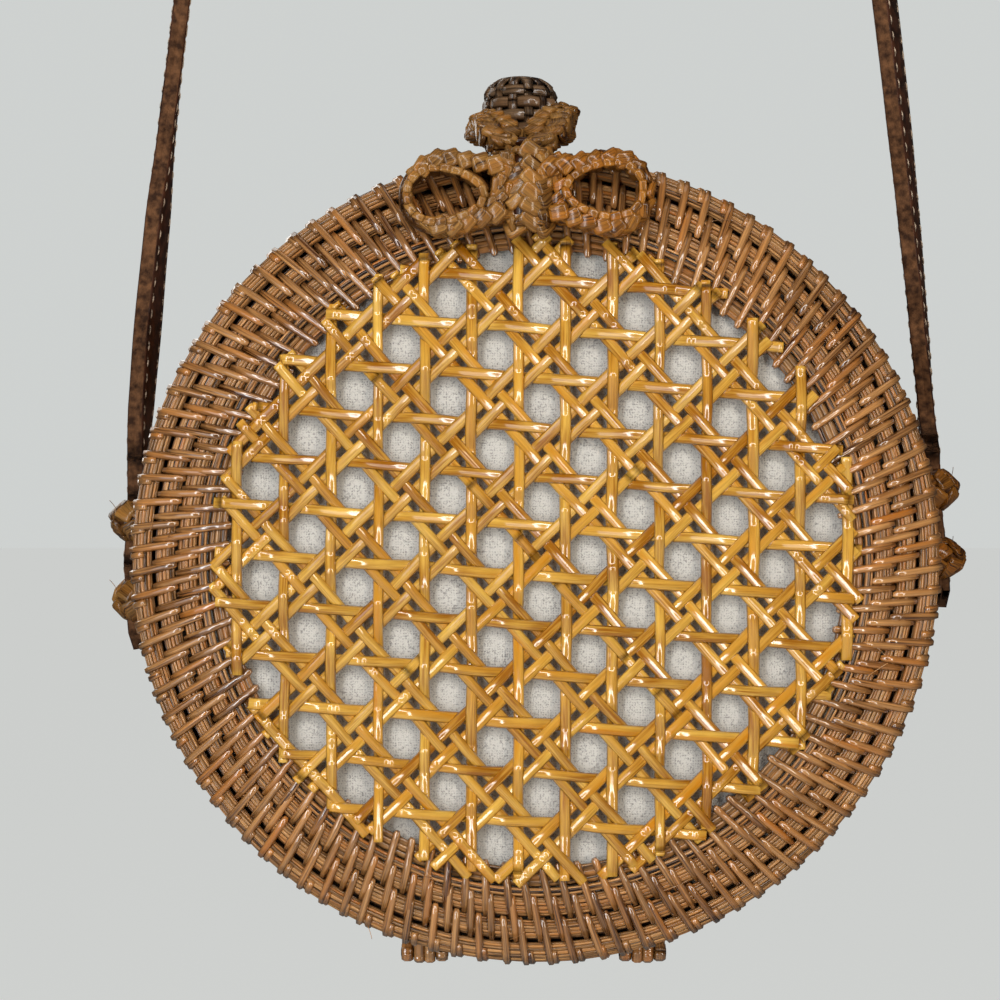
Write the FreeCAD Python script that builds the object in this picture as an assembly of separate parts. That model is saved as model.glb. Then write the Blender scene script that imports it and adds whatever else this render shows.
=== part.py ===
import FreeCAD, Part
import math
import os

# Round shoulder bag of coiled rattan, hanging upright from its leather strap.
# Two shallow coiled halves meet at a seam and are lashed together at the bottom, so the front
# half opens forward like a lid. The front holds a panel of cane webbing over a cotton lining.
# At the top a woven bow carries a closing loop, which drops over a woven knob on the back half.
#
# The pieces are modelled about the bag's centre, in millimetres: X to the right as seen from the
# front, Y to the back with the seam at Y = 0, Z up. Each is then moved so that the origin is the
# underside of the strap where it hangs.

# Coiled body
BAG_RADIUS = 100.0  # outside of the side wall
COIL_THICKNESS = 5.9  # one sewn coil, crest to inner face
COIL_PITCH = 5.6  # from coil to coil
COIL_GROOVE = 2.0  # depth of the groove between two coils
COIL_SLOPE = 1.7  # width of the slope on the corner coil
WALL_COILS = 6  # coils in the side wall of each half, apart from the corner coil
WALL_GROOVES = 3  # grooves in each side wall, one to every two coils
RIM_COILS = 2  # thick coils of the flat rim inside the corner coil
BACK_SET_IN = 1.0  # the back's crests lie this far inside the corner coil
BACK_RIDGES = 7  # ridges around the middle of the back, one to every two or three coils
BACK_FLATS = 48  # straight stretches in each ridge, which keep the model light
SEAM_GAP = 0.6  # between the two closed halves

# Front panel
THIN_COIL_WIDTH = 2.2  # last thin coil inside the rim
THIN_COIL_SET_BACK = 1.0  # its front lies this far behind the rim's crests
RING_WIDTH = 4.5  # flat ring that carries the webbing
CANE_WIDTH = 2.4  # one strand
CANE_THICKNESS = 0.6
CANE_BARE_EDGE = 1.4  # ring left bare outside the strands' ends
CANE_COLUMN = 11.5  # between upright strands
CANE_ROW = 12.1  # between level strands
CANE_ROW_TILT = -4.2  # degrees: the webbing was stretched a little out of square
CANE_PAIR_GAP = 5.0  # between the two strands of a slanting pair
CANE_HOLE_X = -10.0  # centre of one opening, from the bag's centre
CANE_HOLE_Z = 26.8

# Cotton lining
LINING_THICKNESS = 0.8
LINING_HEM = 0.9  # the lining stops this far short of the seam face
LINING_TACKS = 24  # points at which it is tacked to the wall, with the cloth straight between them

# Bow and closing loop
BOW_DEPTH = 9.0  # how far the bow stands out from the rim
BOW_BAND = 4.4  # thickness of its plaited band
BOW_LOOP_RADIUS = 11.0  # outside of each loop's round end
BOW_LOOP_REACH = 19.3  # from the knot's centre to the centre of the round end
BOW_TIP_RADIUS = 5.6  # outside of the loop where it enters the knot
BOW_DROP = 10.0  # from the top of the wall down to the bow's centre
KNOT_X = -1.8
KNOT_WIDTH = 11.5
KNOT_HEIGHT = 22.0
KNOT_DEPTH = 10.5
KNOT_ROUNDING = 3.2
LOOP_THICKNESS = 7.0  # closing loop, measured across its plane, from its crest on
LOOP_BAND = 6.2  # width of its band
LOOP_ROLL = 2.2  # radius of the rolled end that turns behind the knot
LOOP_EYE = 7.5  # half the length of the rolled end
LOOP_FORK = 3.0  # half the space between the loop's legs where they leave the rolled end
LOOP_RISE = 30.0  # degrees: the loop rises from the bow to a crest in front of the knob
LOOP_FALL = 9.0  # degrees: from the crest it falls behind the knob
LOOP_CREST_Y = -16.0
LOOP_SIDE_ROOM = 0.8  # between the loop and the knob's widest part
LOOP_BACK_ROOM = 2.4  # further slack behind the knob, so that the loop lifts off it

# Knob on the back half
KNOB_X = -3.4
KNOB_Y = 6.0
KNOB_RADIUS = 9.6  # at its widest
KNOB_FOOT_RADIUS = 7.6
KNOB_SHOULDER_RADIUS = 8.2
KNOB_HEIGHT = 23.5
KNOB_RIBS = 16
KNOB_TOP_RADIUS = 5.0
KNOB_DOME = 3.5  # height of the slope around its top
STEM_RADIUS = 3.4
STEM_HEIGHT = 2.6  # from the wall's crest to the knob's foot

# Strap: two plies of leather over one hook
STRAP_WIDTH = 10.0
PLY_THICKNESS = 1.75
STRAP_Y = 3.3  # the strap hangs above the bag's centre of mass
STRAP_LEAN_LOW = 4.3  # degrees from upright where the strap leaves the loops
STRAP_LEAN_HIGH = 16.0  # degrees from upright where it reaches the hook
HOOK_RADIUS = 12.0  # bend over the hook, at the middle of the strap
STRAP_TAIL = 7.5  # strap end left hanging below the lower loop

# Woven strap loops on the back half, as heights of their middles: the right pair sits higher
STRAP_LOOP_HEIGHT = 11.0
STRAP_LOOP_BAND = 4.3
STRAP_LOOP_SEAT = 2.3  # between the wall and the strap
STRAP_LOOP_ROUNDING = 3.6
STRAP_LOOP_GRIP = 0.15  # room around the strap
STRAP_LOOPS = {"left": {"upper": 9.0, "lower": -11.7}, "right": {"upper": 17.2, "lower": -0.8}}

# Lashed hinge at the bottom
HINGE_DROP = 4.0  # hinge axis below the wall's lowest point
LASHING_X = 28.5  # middle of each lashing
LASHING_WIDTH = 5.4  # front lashing, between the two back ones
BACK_LASHING_WIDTH = 3.0
LASHING_RADIUS = 3.6
LASHING_BAND = 1.8  # thickness of the lashing where it climbs to the wall
LASHING_FLATS = 8
PEG_RADIUS = 1.4
PEG_ROOM = 0.1  # running clearance of the front lashing on its peg
CLEARANCE = 0.3  # between pieces that move past each other

# Places that follow from the sizes above
V = FreeCAD.Vector
HALF_DEPTH = SEAM_GAP / 2 + COIL_THICKNESS + WALL_COILS * COIL_PITCH
WALL_MIDDLE_R = BAG_RADIUS - COIL_THICKNESS / 2
WALL_INNER_R = BAG_RADIUS - COIL_THICKNESS
RIM_BACK_DEPTH = HALF_DEPTH - COIL_THICKNESS
THIN_OUTER_R = WALL_INNER_R - RIM_COILS * COIL_PITCH
RING_OUTER_R = THIN_OUTER_R - THIN_COIL_WIDTH
CANE_R = RING_OUTER_R - CANE_BARE_EDGE
RING_FRONT_DEPTH = HALF_DEPTH - 4 * CANE_THICKNESS
BOW_Z = BAG_RADIUS - BOW_DROP
FLIP_Y = -HALF_DEPTH + CLEARANCE + LOOP_ROLL
FLIP_Z = BAG_RADIUS + CLEARANCE + LOOP_ROLL
STRAP_THICKNESS = 2 * PLY_THICKNESS
STRAP_X = BAG_RADIUS + STRAP_LOOP_SEAT + STRAP_LOOP_GRIP + PLY_THICKNESS
TOP_LOOP_Z = max(heights["upper"] for heights in STRAP_LOOPS.values()) + STRAP_LOOP_HEIGHT / 2
PIVOT_Z = TOP_LOOP_Z + CLEARANCE + STRAP_WIDTH / 2
HINGE_Z = -BAG_RADIUS - HINGE_DROP

# Strap path: an arc on each side, tangent to the bend over the hook
LEAN_LOW = math.radians(STRAP_LEAN_LOW)
LEAN_HIGH = math.radians(STRAP_LEAN_HIGH)
SWEEP_R = (STRAP_X - HOOK_RADIUS * math.cos(LEAN_HIGH)) / (math.cos(LEAN_LOW) - math.cos(LEAN_HIGH))
SWEEP_X = STRAP_X - SWEEP_R * math.cos(LEAN_LOW)
SWEEP_Z = PIVOT_Z - SWEEP_R * math.sin(LEAN_LOW)
HOOK_Z = SWEEP_Z + (SWEEP_R - HOOK_RADIUS) * math.sin(LEAN_HIGH)
HANG_Z = HOOK_Z + HOOK_RADIUS - PLY_THICKNESS


def arc(start, middle, end):
    return Part.Arc(start, middle, end).toShape()


def line(start, end):
    return Part.LineSegment(start, end).toShape()


def revolve_about_bag(edges):
    """Turn a closed section in the XY plane about the bag's front-to-back axis."""
    return Part.Face(Part.Wire(edges)).revolve(V(0, 0, 0), V(0, 1, 0), 360)


def ring(side, corners):
    """Ring with a straight-sided section; corners are (radius, distance from the seam plane)."""
    points = [V(radius, side * depth, 0) for radius, depth in corners]
    return revolve_about_bag(Part.makePolygon(points + points[:1]).Edges)


def corners_about_bag(radius, flats, depth):
    """Closed line of corners on a circle about the bag's front-to-back axis."""
    turns = [2 * math.pi * corner / flats for corner in range(flats)] + [0.0]
    return [V(radius * math.cos(turn), depth, radius * math.sin(turn)) for turn in turns]


def solid_of_flats(rings):
    """Solid with a flat between each two corners of neighbouring rings, and a flat face at both ends."""
    faces = [Part.Face(Part.makePolygon(rings[0])), Part.Face(Part.makePolygon(rings[-1]))]
    for lower, upper in zip(rings, rings[1:]):
        for corner in range(len(lower) - 1):
            flat = [lower[corner], lower[corner + 1], upper[corner + 1], upper[corner], lower[corner]]
            faces.append(Part.Face(Part.makePolygon(flat)))
    return Part.Solid(Part.Shell(faces))


def wall(side):
    """Side wall of one half, grooved along its coils, up to the sloped-off corner coil."""
    lip = SEAM_GAP / 2
    corner_depth = HALF_DEPTH - COIL_SLOPE
    steps = 2 * WALL_GROOVES
    corners = [(WALL_INNER_R, lip)]
    for step in range(steps + 1):
        crest_to_groove = COIL_GROOVE if step % 2 else 0
        corners.append((BAG_RADIUS - crest_to_groove, lip + (corner_depth - lip) * step / steps))
    return ring(side, corners + [(BAG_RADIUS - COIL_SLOPE, HALF_DEPTH), (WALL_INNER_R, HALF_DEPTH)])


def rim_coils(side):
    """Coils of the flat rim inside the corner coil, with a groove on both sides of each."""
    corners = [(THIN_OUTER_R, RIM_BACK_DEPTH), (WALL_INNER_R, RIM_BACK_DEPTH)]
    for step in range(2 * RIM_COILS + 1):
        crest_to_groove = 0 if step % 2 else COIL_GROOVE
        corners.append((WALL_INNER_R - COIL_PITCH * step / 2, HALF_DEPTH - crest_to_groove))
    return ring(side, corners)


def back_disc():
    """Coiled back, ridged to its centre."""
    crest_depth = HALF_DEPTH - BACK_SET_IN
    steps = 2 * BACK_RIDGES
    rings = [corners_about_bag(WALL_INNER_R, BACK_FLATS, RIM_BACK_DEPTH)]
    for step in range(steps):
        depth = crest_depth - (0 if step % 2 else COIL_GROOVE)
        rings.append(corners_about_bag(WALL_INNER_R * (steps - step) / steps, BACK_FLATS, depth))
    return solid_of_flats(rings)


def thin_coil():
    front = HALF_DEPTH - THIN_COIL_SET_BACK
    corners = [(RING_OUTER_R, RIM_BACK_DEPTH), (THIN_OUTER_R, RIM_BACK_DEPTH)]
    return ring(-1, corners + [(THIN_OUTER_R, front), (RING_OUTER_R, front)])


def panel_ring():
    """Flat ring on which the cane webbing is laid."""
    inner_r = RING_OUTER_R - RING_WIDTH
    corners = [(inner_r, RIM_BACK_DEPTH), (RING_OUTER_R, RIM_BACK_DEPTH)]
    return ring(-1, corners + [(RING_OUTER_R, RING_FRONT_DEPTH), (inner_r, RING_FRONT_DEPTH)])


def cane_strand(angle, offset, layer):
    """One strand at an angle in degrees, offset sideways from the centre, in its layer of the weave."""
    box = Part.makeBox(2 * BAG_RADIUS, CANE_THICKNESS, CANE_WIDTH)
    depth = RING_FRONT_DEPTH + (layer + 1) * CANE_THICKNESS
    box.translate(V(-BAG_RADIUS, -depth, offset - CANE_WIDTH / 2))
    box.rotate(V(0, 0, 0), V(0, 1, 0), -angle)
    panel = Part.makeCylinder(CANE_R, HALF_DEPTH, V(0, -HALF_DEPTH, 0), V(0, 1, 0))
    return box.common(panel).Solids[0]


def cane_strands(angle, through, step, layer, pair_gap=0.0):
    """Parallel strands, or pairs of strands, through a point and at equal steps across the panel."""
    turn = math.radians(angle)
    first = through[1] * math.cos(turn) - through[0] * math.sin(turn)
    spacing = abs(step[1] * math.cos(turn) - step[0] * math.sin(turn))
    first = first % spacing
    count = math.ceil(CANE_R / spacing) + 1
    strands = []
    for number in range(-count, count):
        for half in ((-0.5, 0.5) if pair_gap else (0.0,)):
            offset = first + number * spacing + half * pair_gap
            if abs(offset) < CANE_R - 2 * CANE_WIDTH:
                strands.append(cane_strand(angle, offset, layer))
    return Part.makeCompound(strands)


def cane_webbing():
    """Six-way cane pattern: uprights, levels and two slanting sets of pairs, around open holes."""
    drift = CANE_COLUMN * math.tan(math.radians(CANE_ROW_TILT))
    falling = (CANE_COLUMN, drift - CANE_ROW)
    rising = (-CANE_COLUMN, -drift - CANE_ROW)
    hole = (CANE_HOLE_X, CANE_HOLE_Z)
    beside = (hole[0] + CANE_COLUMN / 2, hole[1])
    above = (hole[0], hole[1] + CANE_ROW / 2)
    next_falling = (hole[0] + falling[0] / 2, hole[1] + falling[1] / 2)
    next_rising = (hole[0] + rising[0] / 2, hole[1] + rising[1] / 2)
    rising_angle = math.degrees(math.atan2(-rising[1], -rising[0]))
    falling_angle = math.degrees(math.atan2(falling[1], falling[0]))
    return {
        "cane_rising_pairs": cane_strands(rising_angle, next_falling, falling, 0, CANE_PAIR_GAP),
        "cane_uprights": cane_strands(90.0, beside, (CANE_COLUMN, 0), 1),
        "cane_falling_pairs": cane_strands(falling_angle, next_rising, rising, 2, CANE_PAIR_GAP),
        "cane_levels": cane_strands(CANE_ROW_TILT, above, (0, CANE_ROW), 3),
    }


def lining_disc(side):
    """Cotton across the inside of one half."""
    inner_depth = RIM_BACK_DEPTH - LINING_THICKNESS
    outline = Part.makePolygon(corners_about_bag(WALL_INNER_R, LINING_TACKS, side * inner_depth))
    return Part.Face(outline).extrude(V(0, side * LINING_THICKNESS, 0))


def lining_band(side):
    """Cotton strip around the inside of the side wall."""
    hem = SEAM_GAP / 2 + LINING_HEM
    far = RIM_BACK_DEPTH - LINING_THICKNESS
    outside = Part.makePolygon(corners_about_bag(WALL_INNER_R, LINING_TACKS, side * hem))
    inside = Part.makePolygon(corners_about_bag(WALL_INNER_R - LINING_THICKNESS, LINING_TACKS, side * hem))
    hemmed_edge = Part.Face(outside).cut(Part.Face(inside))
    return hemmed_edge.extrude(V(0, side * (far - hem), 0)).Solids[0]


def teardrop(place, big_u, big_r, tip_u, tip_r):
    """Face bounded by two circles on the u axis and their common tangents."""
    way = math.copysign(1.0, tip_u - big_u)
    turn = math.acos((big_r - tip_r) / abs(tip_u - big_u))
    along = way * math.cos(turn)
    across = math.sin(turn)
    big_top = place(big_u + big_r * along, big_r * across)
    big_low = place(big_u + big_r * along, -big_r * across)
    tip_top = place(tip_u + tip_r * along, tip_r * across)
    tip_low = place(tip_u + tip_r * along, -tip_r * across)
    edges = [arc(big_top, place(big_u - way * big_r, 0), big_low), line(big_low, tip_low)]
    edges += [arc(tip_low, place(tip_u + way * tip_r, 0), tip_top), line(tip_top, big_top)]
    return Part.Face(Part.Wire(edges))


def bow_knot():
    """Upright wrapped knot in the middle of the bow."""
    corner = V(KNOT_X - KNOT_WIDTH / 2, -HALF_DEPTH - KNOT_DEPTH, BOW_Z - KNOT_HEIGHT / 2)
    block = Part.makeBox(KNOT_WIDTH, KNOT_DEPTH, KNOT_HEIGHT, corner)
    front_edges = [edge for edge in block.Edges if edge.BoundBox.YMin < -HALF_DEPTH - KNOT_DEPTH / 2]
    front_edges = [edge for edge in front_edges if edge.BoundBox.YLength < KNOT_DEPTH / 2]
    return block.makeFillet(KNOT_ROUNDING, front_edges)


def bow_loop(way, knot):
    """Teardrop ring of plaited band, its narrow end against the knot."""

    def place(across, up):
        return V(KNOT_X + way * across, -HALF_DEPTH, BOW_Z + up)

    outside = teardrop(place, BOW_LOOP_REACH, BOW_LOOP_RADIUS, 0, BOW_TIP_RADIUS)
    tip_inside = BOW_TIP_RADIUS - BOW_BAND
    tip_middle = KNOT_WIDTH / 2 + BOW_BAND
    opening = teardrop(place, BOW_LOOP_REACH, BOW_LOOP_RADIUS - BOW_BAND, tip_middle, tip_inside)
    return outside.cut(opening).extrude(V(0, -BOW_DEPTH, 0)).cut(knot).Solids[0]


def bent_band(start, crest, far_y):
    """Side view of the closing loop: a band that thickens as it rises to a crest, then falls."""
    rise = math.radians(LOOP_RISE)
    fall = math.radians(LOOP_FALL)
    far = V(start.x, far_y, crest.z - (far_y - crest.y) * math.tan(fall))
    half = LOOP_THICKNESS / 2
    rise_normal = V(0, -math.sin(rise), math.cos(rise)) * LOOP_ROLL
    fall_normal = V(0, math.sin(fall), math.cos(fall)) * half
    lean = (rise - fall) / 2
    mitre = V(0, -math.sin(lean), math.cos(lean)) * (half / math.cos((rise + fall) / 2))
    corners = [start - rise_normal, start + rise_normal, crest + mitre]
    corners += [far + fall_normal, far - fall_normal, crest - mitre]
    return Part.Face(Part.makePolygon(corners + corners[:1]))


def closing_loop():
    """Plaited loop with a rolled end that turns behind the knot and an eye around the knob."""
    eye_u = KNOB_Y - FLIP_Y + LOOP_BACK_ROOM
    eye_r = KNOB_RADIUS + LOOP_SIDE_ROOM

    def place(along, across):
        return V(KNOB_X + across, FLIP_Y + along, 0)

    outside = teardrop(place, eye_u, eye_r + LOOP_BAND, 0, LOOP_EYE)
    opening = teardrop(place, eye_u, eye_r, LOOP_ROLL + LOOP_FORK, LOOP_FORK)
    plan = outside.cut(opening).extrude(V(0, 0, 2 * BAG_RADIUS))
    start = V(KNOB_X - BAG_RADIUS, FLIP_Y, FLIP_Z)
    crest_rise = (LOOP_CREST_Y - FLIP_Y) * math.tan(math.radians(LOOP_RISE))
    crest = V(start.x, LOOP_CREST_Y, FLIP_Z + crest_rise)
    band = bent_band(start, crest, BAG_RADIUS).extrude(V(2 * BAG_RADIUS, 0, 0))
    roll_start = V(KNOB_X - LOOP_EYE, FLIP_Y, FLIP_Z)
    rolled_end = Part.makeCylinder(LOOP_ROLL, 2 * LOOP_EYE, roll_start, V(1, 0, 0))
    return plan.common(band).fuse(rolled_end).removeSplitter().Solids[0]


def knob():
    """Barrel-shaped knob with a flat between each two of the ribs that it is woven over."""
    foot_z = BAG_RADIUS + STEM_HEIGHT
    top_z = foot_z + KNOB_HEIGHT
    shoulder_z = top_z - KNOB_DOME
    belly_low = foot_z + (shoulder_z - foot_z) / 3
    belly_high = shoulder_z - (shoulder_z - foot_z) / 3
    outline = [(KNOB_FOOT_RADIUS, foot_z), (KNOB_RADIUS, belly_low), (KNOB_RADIUS, belly_high)]
    outline += [(KNOB_SHOULDER_RADIUS, shoulder_z), (KNOB_TOP_RADIUS, top_z)]
    turns = [2 * math.pi * rib / KNOB_RIBS for rib in range(KNOB_RIBS)] + [0.0]
    rings = []
    for radius, height in outline:
        centre = V(KNOB_X, KNOB_Y, height)
        rings.append([centre + V(math.cos(turn), math.sin(turn), 0) * radius for turn in turns])
    return solid_of_flats(rings)


def knob_stem(back_wall):
    """Short stem sewn into the wall, under the knob."""
    base = V(KNOB_X, KNOB_Y, WALL_MIDDLE_R)
    stem = Part.makeCylinder(STEM_RADIUS, BAG_RADIUS + STEM_HEIGHT - WALL_MIDDLE_R, base)
    return stem.cut(back_wall).Solids[0]


def sweep_point(radius, height=None):
    """Point of the right side arc: at a height, or where it meets the bend over the hook."""
    if height is None:
        return V(SWEEP_X + radius * math.cos(LEAN_HIGH), STRAP_Y, SWEEP_Z + radius * math.sin(LEAN_HIGH))
    return V(SWEEP_X + math.sqrt(radius ** 2 - (height - SWEEP_Z) ** 2), STRAP_Y, height)


def mirrored(point):
    return V(-point.x, point.y, point.z)


def strap_edge(offset):
    """Right foot to left foot along the strap, at an offset from its middle."""
    radius = SWEEP_R + offset
    foot = sweep_point(radius, PIVOT_Z)
    top = sweep_point(radius)
    middle = sweep_point(radius, (foot.z + top.z) / 2)
    crown = V(0, STRAP_Y, HOOK_Z + HOOK_RADIUS + offset)
    bend = arc(top, crown, mirrored(top))
    left = arc(mirrored(top), mirrored(middle), mirrored(foot))
    return [arc(foot, middle, top), bend, left], foot


def strap_ply(inner_offset, outer_offset):
    """One ply of leather, with feet rounded about the axis on which the bag swings."""
    outer_edges, outer_foot = strap_edge(outer_offset)
    inner_edges, inner_foot = strap_edge(inner_offset)
    edges = outer_edges + [line(mirrored(outer_foot), mirrored(inner_foot))]
    edges += inner_edges + [line(inner_foot, outer_foot)]
    band = Part.Face(Part.Wire(Part.sortEdges(edges)[0])).extrude(V(0, STRAP_WIDTH, 0))
    band.translate(V(0, -STRAP_WIDTH / 2, 0))
    solid = band
    for low_x in (inner_foot.x, -outer_foot.x):
        pivot = V(low_x, STRAP_Y, PIVOT_Z)
        foot = Part.makeCylinder(STRAP_WIDTH / 2, outer_foot.x - inner_foot.x, pivot, V(1, 0, 0))
        upper = Part.makeBox(STRAP_THICKNESS * 2, STRAP_WIDTH * 2, STRAP_WIDTH)
        upper.translate(V(low_x - STRAP_THICKNESS / 2, STRAP_Y - STRAP_WIDTH, PIVOT_Z))
        solid = solid.fuse(foot.cut(upper))
    return solid.removeSplitter().Solids[0]


def strap_end(way, lower_loop_z):
    """End of the strap that passes down through its two loops, rounded at the tip."""
    top = PIVOT_Z - STRAP_WIDTH / 2 - CLEARANCE
    tip = lower_loop_z - STRAP_LOOP_HEIGHT / 2 - STRAP_TAIL
    low_x = way * STRAP_X - PLY_THICKNESS
    tip_middle = V(low_x, STRAP_Y, tip + STRAP_WIDTH / 2)
    box = Part.makeBox(STRAP_THICKNESS, STRAP_WIDTH, top - tip_middle.z)
    box.translate(V(low_x, STRAP_Y - STRAP_WIDTH / 2, tip_middle.z))
    rounded = Part.makeCylinder(STRAP_WIDTH / 2, STRAP_THICKNESS, tip_middle, V(1, 0, 0))
    return box.fuse(rounded).removeSplitter().Solids[0]


def strap_loop(way, middle_z, back_wall):
    """Woven loop around the strap, seated on the coils of the back half's wall."""
    half_x = PLY_THICKNESS + STRAP_LOOP_GRIP
    half_y = STRAP_WIDTH / 2 + STRAP_LOOP_GRIP
    inner_x = WALL_MIDDLE_R
    outer_x = STRAP_X + half_x + STRAP_LOOP_BAND
    width_y = 2 * (half_y + STRAP_LOOP_BAND)
    block = Part.makeBox(outer_x - inner_x, width_y, STRAP_LOOP_HEIGHT)
    block.translate(V(inner_x, STRAP_Y - width_y / 2, middle_z - STRAP_LOOP_HEIGHT / 2))
    corners = [edge for edge in block.Edges if edge.BoundBox.ZLength > STRAP_LOOP_HEIGHT / 2]
    corners = [edge for edge in corners if edge.BoundBox.XMin > STRAP_X]
    block = block.makeFillet(STRAP_LOOP_ROUNDING, corners)
    slot = Part.makeBox(2 * half_x, 2 * half_y, STRAP_LOOP_HEIGHT * 2)
    slot.translate(V(STRAP_X - half_x, STRAP_Y - half_y, middle_z - STRAP_LOOP_HEIGHT))
    lid_start = V(0, -HALF_DEPTH, 0)
    lid_room = Part.makeCylinder(BAG_RADIUS + CLEARANCE, HALF_DEPTH + SEAM_GAP / 2, lid_start, V(0, 1, 0))
    loop = block.cut(slot).cut(back_wall).cut(lid_room).Solids[0]
    return loop if way > 0 else loop.mirror(V(0, 0, 0), V(1, 0, 0))


def lashing(side, start_x, width, bore_r, wall_solid):
    """Band of wound cane: a ring around the hinge peg and a tail bound to the wall's last coil."""
    centre = V(start_x, 0, HINGE_Z)
    turns = [2 * math.pi * corner / LASHING_FLATS for corner in range(LASHING_FLATS)] + [0.0]
    corners = [centre + V(0, math.cos(turn), math.sin(turn)) * LASHING_RADIUS for turn in turns]
    eye = Part.Face(Part.makePolygon(corners)).extrude(V(width, 0, 0))
    tail = Part.makeBox(width, LASHING_BAND, -WALL_MIDDLE_R - HINGE_Z + COIL_THICKNESS)
    near_y = LASHING_RADIUS - LASHING_BAND if side > 0 else -LASHING_RADIUS
    tail.translate(V(start_x, near_y, HINGE_Z))
    bore = Part.makeCylinder(bore_r, width, centre, V(1, 0, 0))
    inside = Part.makeCylinder(WALL_MIDDLE_R, 2 * HALF_DEPTH, V(0, -HALF_DEPTH, 0), V(0, 1, 0))
    band = eye.fuse(tail).cut(bore).cut(inside).cut(wall_solid)
    return band.removeSplitter().Solids[0]


def hinge(way, front_wall, back_wall):
    """Peg, front lashing and the two back lashings on one side."""
    middle = way * LASHING_X
    back_offset = LASHING_WIDTH / 2 + CLEARANCE
    peg_length = 2 * (back_offset + BACK_LASHING_WIDTH)
    peg = Part.makeCylinder(PEG_RADIUS, peg_length, V(middle - peg_length / 2, 0, HINGE_Z), V(1, 0, 0))
    front = lashing(-1, middle - LASHING_WIDTH / 2, LASHING_WIDTH, PEG_RADIUS + PEG_ROOM, front_wall)
    starts = (middle - peg_length / 2, middle + back_offset)
    back = [lashing(1, start, BACK_LASHING_WIDTH, PEG_RADIUS, back_wall) for start in starts]
    return peg, front, Part.makeCompound(back)


def build():
    """All pieces by name, about the bag's centre."""
    front_wall = wall(-1)
    back_wall = wall(1)
    knot = bow_knot()
    pieces = {
        "front_rim_coils": rim_coils(-1),
        "front_rim_thin_coil": thin_coil(),
        "front_panel_ring": panel_ring(),
        "front_wall": front_wall,
        "front_lining_disc": lining_disc(-1),
        "front_lining_band": lining_band(-1),
        "bow_knot": knot,
        "bow_left_loop": bow_loop(-1, knot),
        "bow_right_loop": bow_loop(1, knot),
        "closing_loop": closing_loop(),
        "back_disc": back_disc(),
        "back_wall": back_wall,
        "back_lining_disc": lining_disc(1),
        "back_lining_band": lining_band(1),
        "knob": knob(),
        "knob_stem": knob_stem(back_wall),
        "strap_inner_ply": strap_ply(-PLY_THICKNESS, 0),
        "strap_outer_ply": strap_ply(0, PLY_THICKNESS),
    }
    pieces.update(cane_webbing())
    for name, way in (("left", -1), ("right", 1)):
        heights = STRAP_LOOPS[name]
        pieces["strap_end_" + name] = strap_end(way, heights["lower"])
        for level in ("upper", "lower"):
            pieces["strap_loop_" + name + "_" + level] = strap_loop(way, heights[level], back_wall)
        peg, front, back = hinge(way, front_wall, back_wall)
        pieces["hinge_peg_" + name] = peg
        pieces["front_lashing_" + name] = front
        pieces["back_lashing_" + name] = back
    return pieces


os.makedirs("parts", exist_ok=True)
for node, piece in build().items():
    piece.translate(V(0, -STRAP_Y, -HANG_Z))
    piece.exportStep("parts/" + node + ".step")
print("hang point above the bag's centre: %.2f mm" % HANG_Z)
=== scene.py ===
# %% [markdown]
# # A round rattan shoulder bag
# The bag hangs from its strap: two coiled halves lashed together at the bottom, a front panel of cane
# webbing over cotton, and a plaited bow whose loop drops over a woven knob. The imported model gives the
# solids and the bodies that move. This lesson dresses them, piece by piece, with what hands made:
# splints, stitches, strands and plaits.

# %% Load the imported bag
import math
import random

import bmesh
import bpy
from mathutils import Matrix, Vector, noise
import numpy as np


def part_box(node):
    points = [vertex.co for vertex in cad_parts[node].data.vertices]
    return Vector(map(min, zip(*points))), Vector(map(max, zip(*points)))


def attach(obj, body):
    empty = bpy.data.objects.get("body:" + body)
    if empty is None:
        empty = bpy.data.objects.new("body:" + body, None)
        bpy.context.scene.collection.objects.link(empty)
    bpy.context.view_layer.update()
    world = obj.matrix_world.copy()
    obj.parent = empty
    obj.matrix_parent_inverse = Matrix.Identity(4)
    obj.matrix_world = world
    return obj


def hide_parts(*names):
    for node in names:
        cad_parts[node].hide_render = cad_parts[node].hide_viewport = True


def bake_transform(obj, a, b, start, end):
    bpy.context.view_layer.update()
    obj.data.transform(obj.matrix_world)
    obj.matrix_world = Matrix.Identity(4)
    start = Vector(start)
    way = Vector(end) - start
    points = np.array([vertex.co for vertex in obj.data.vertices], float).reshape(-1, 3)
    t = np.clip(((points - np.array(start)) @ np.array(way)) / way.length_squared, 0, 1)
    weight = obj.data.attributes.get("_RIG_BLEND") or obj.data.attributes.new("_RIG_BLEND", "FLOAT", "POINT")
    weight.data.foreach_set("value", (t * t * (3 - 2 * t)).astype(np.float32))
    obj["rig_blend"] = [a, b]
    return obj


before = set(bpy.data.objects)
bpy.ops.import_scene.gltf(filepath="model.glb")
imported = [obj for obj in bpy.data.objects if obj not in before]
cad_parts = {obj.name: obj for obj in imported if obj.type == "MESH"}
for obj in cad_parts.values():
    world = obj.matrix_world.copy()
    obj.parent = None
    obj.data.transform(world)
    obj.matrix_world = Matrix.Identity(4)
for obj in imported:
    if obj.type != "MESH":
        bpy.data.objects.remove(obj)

scene = bpy.context.scene
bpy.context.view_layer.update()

# %% [markdown]
# ## Measuring from the bag's centre
# A round bag is easiest to think of from its own centre: X to the right, Y to the back with the seam at
# zero, Z up, all in millimetres. Every piece below is modelled there and moved into the frame, in metres,
# as its very last step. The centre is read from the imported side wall.

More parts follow.
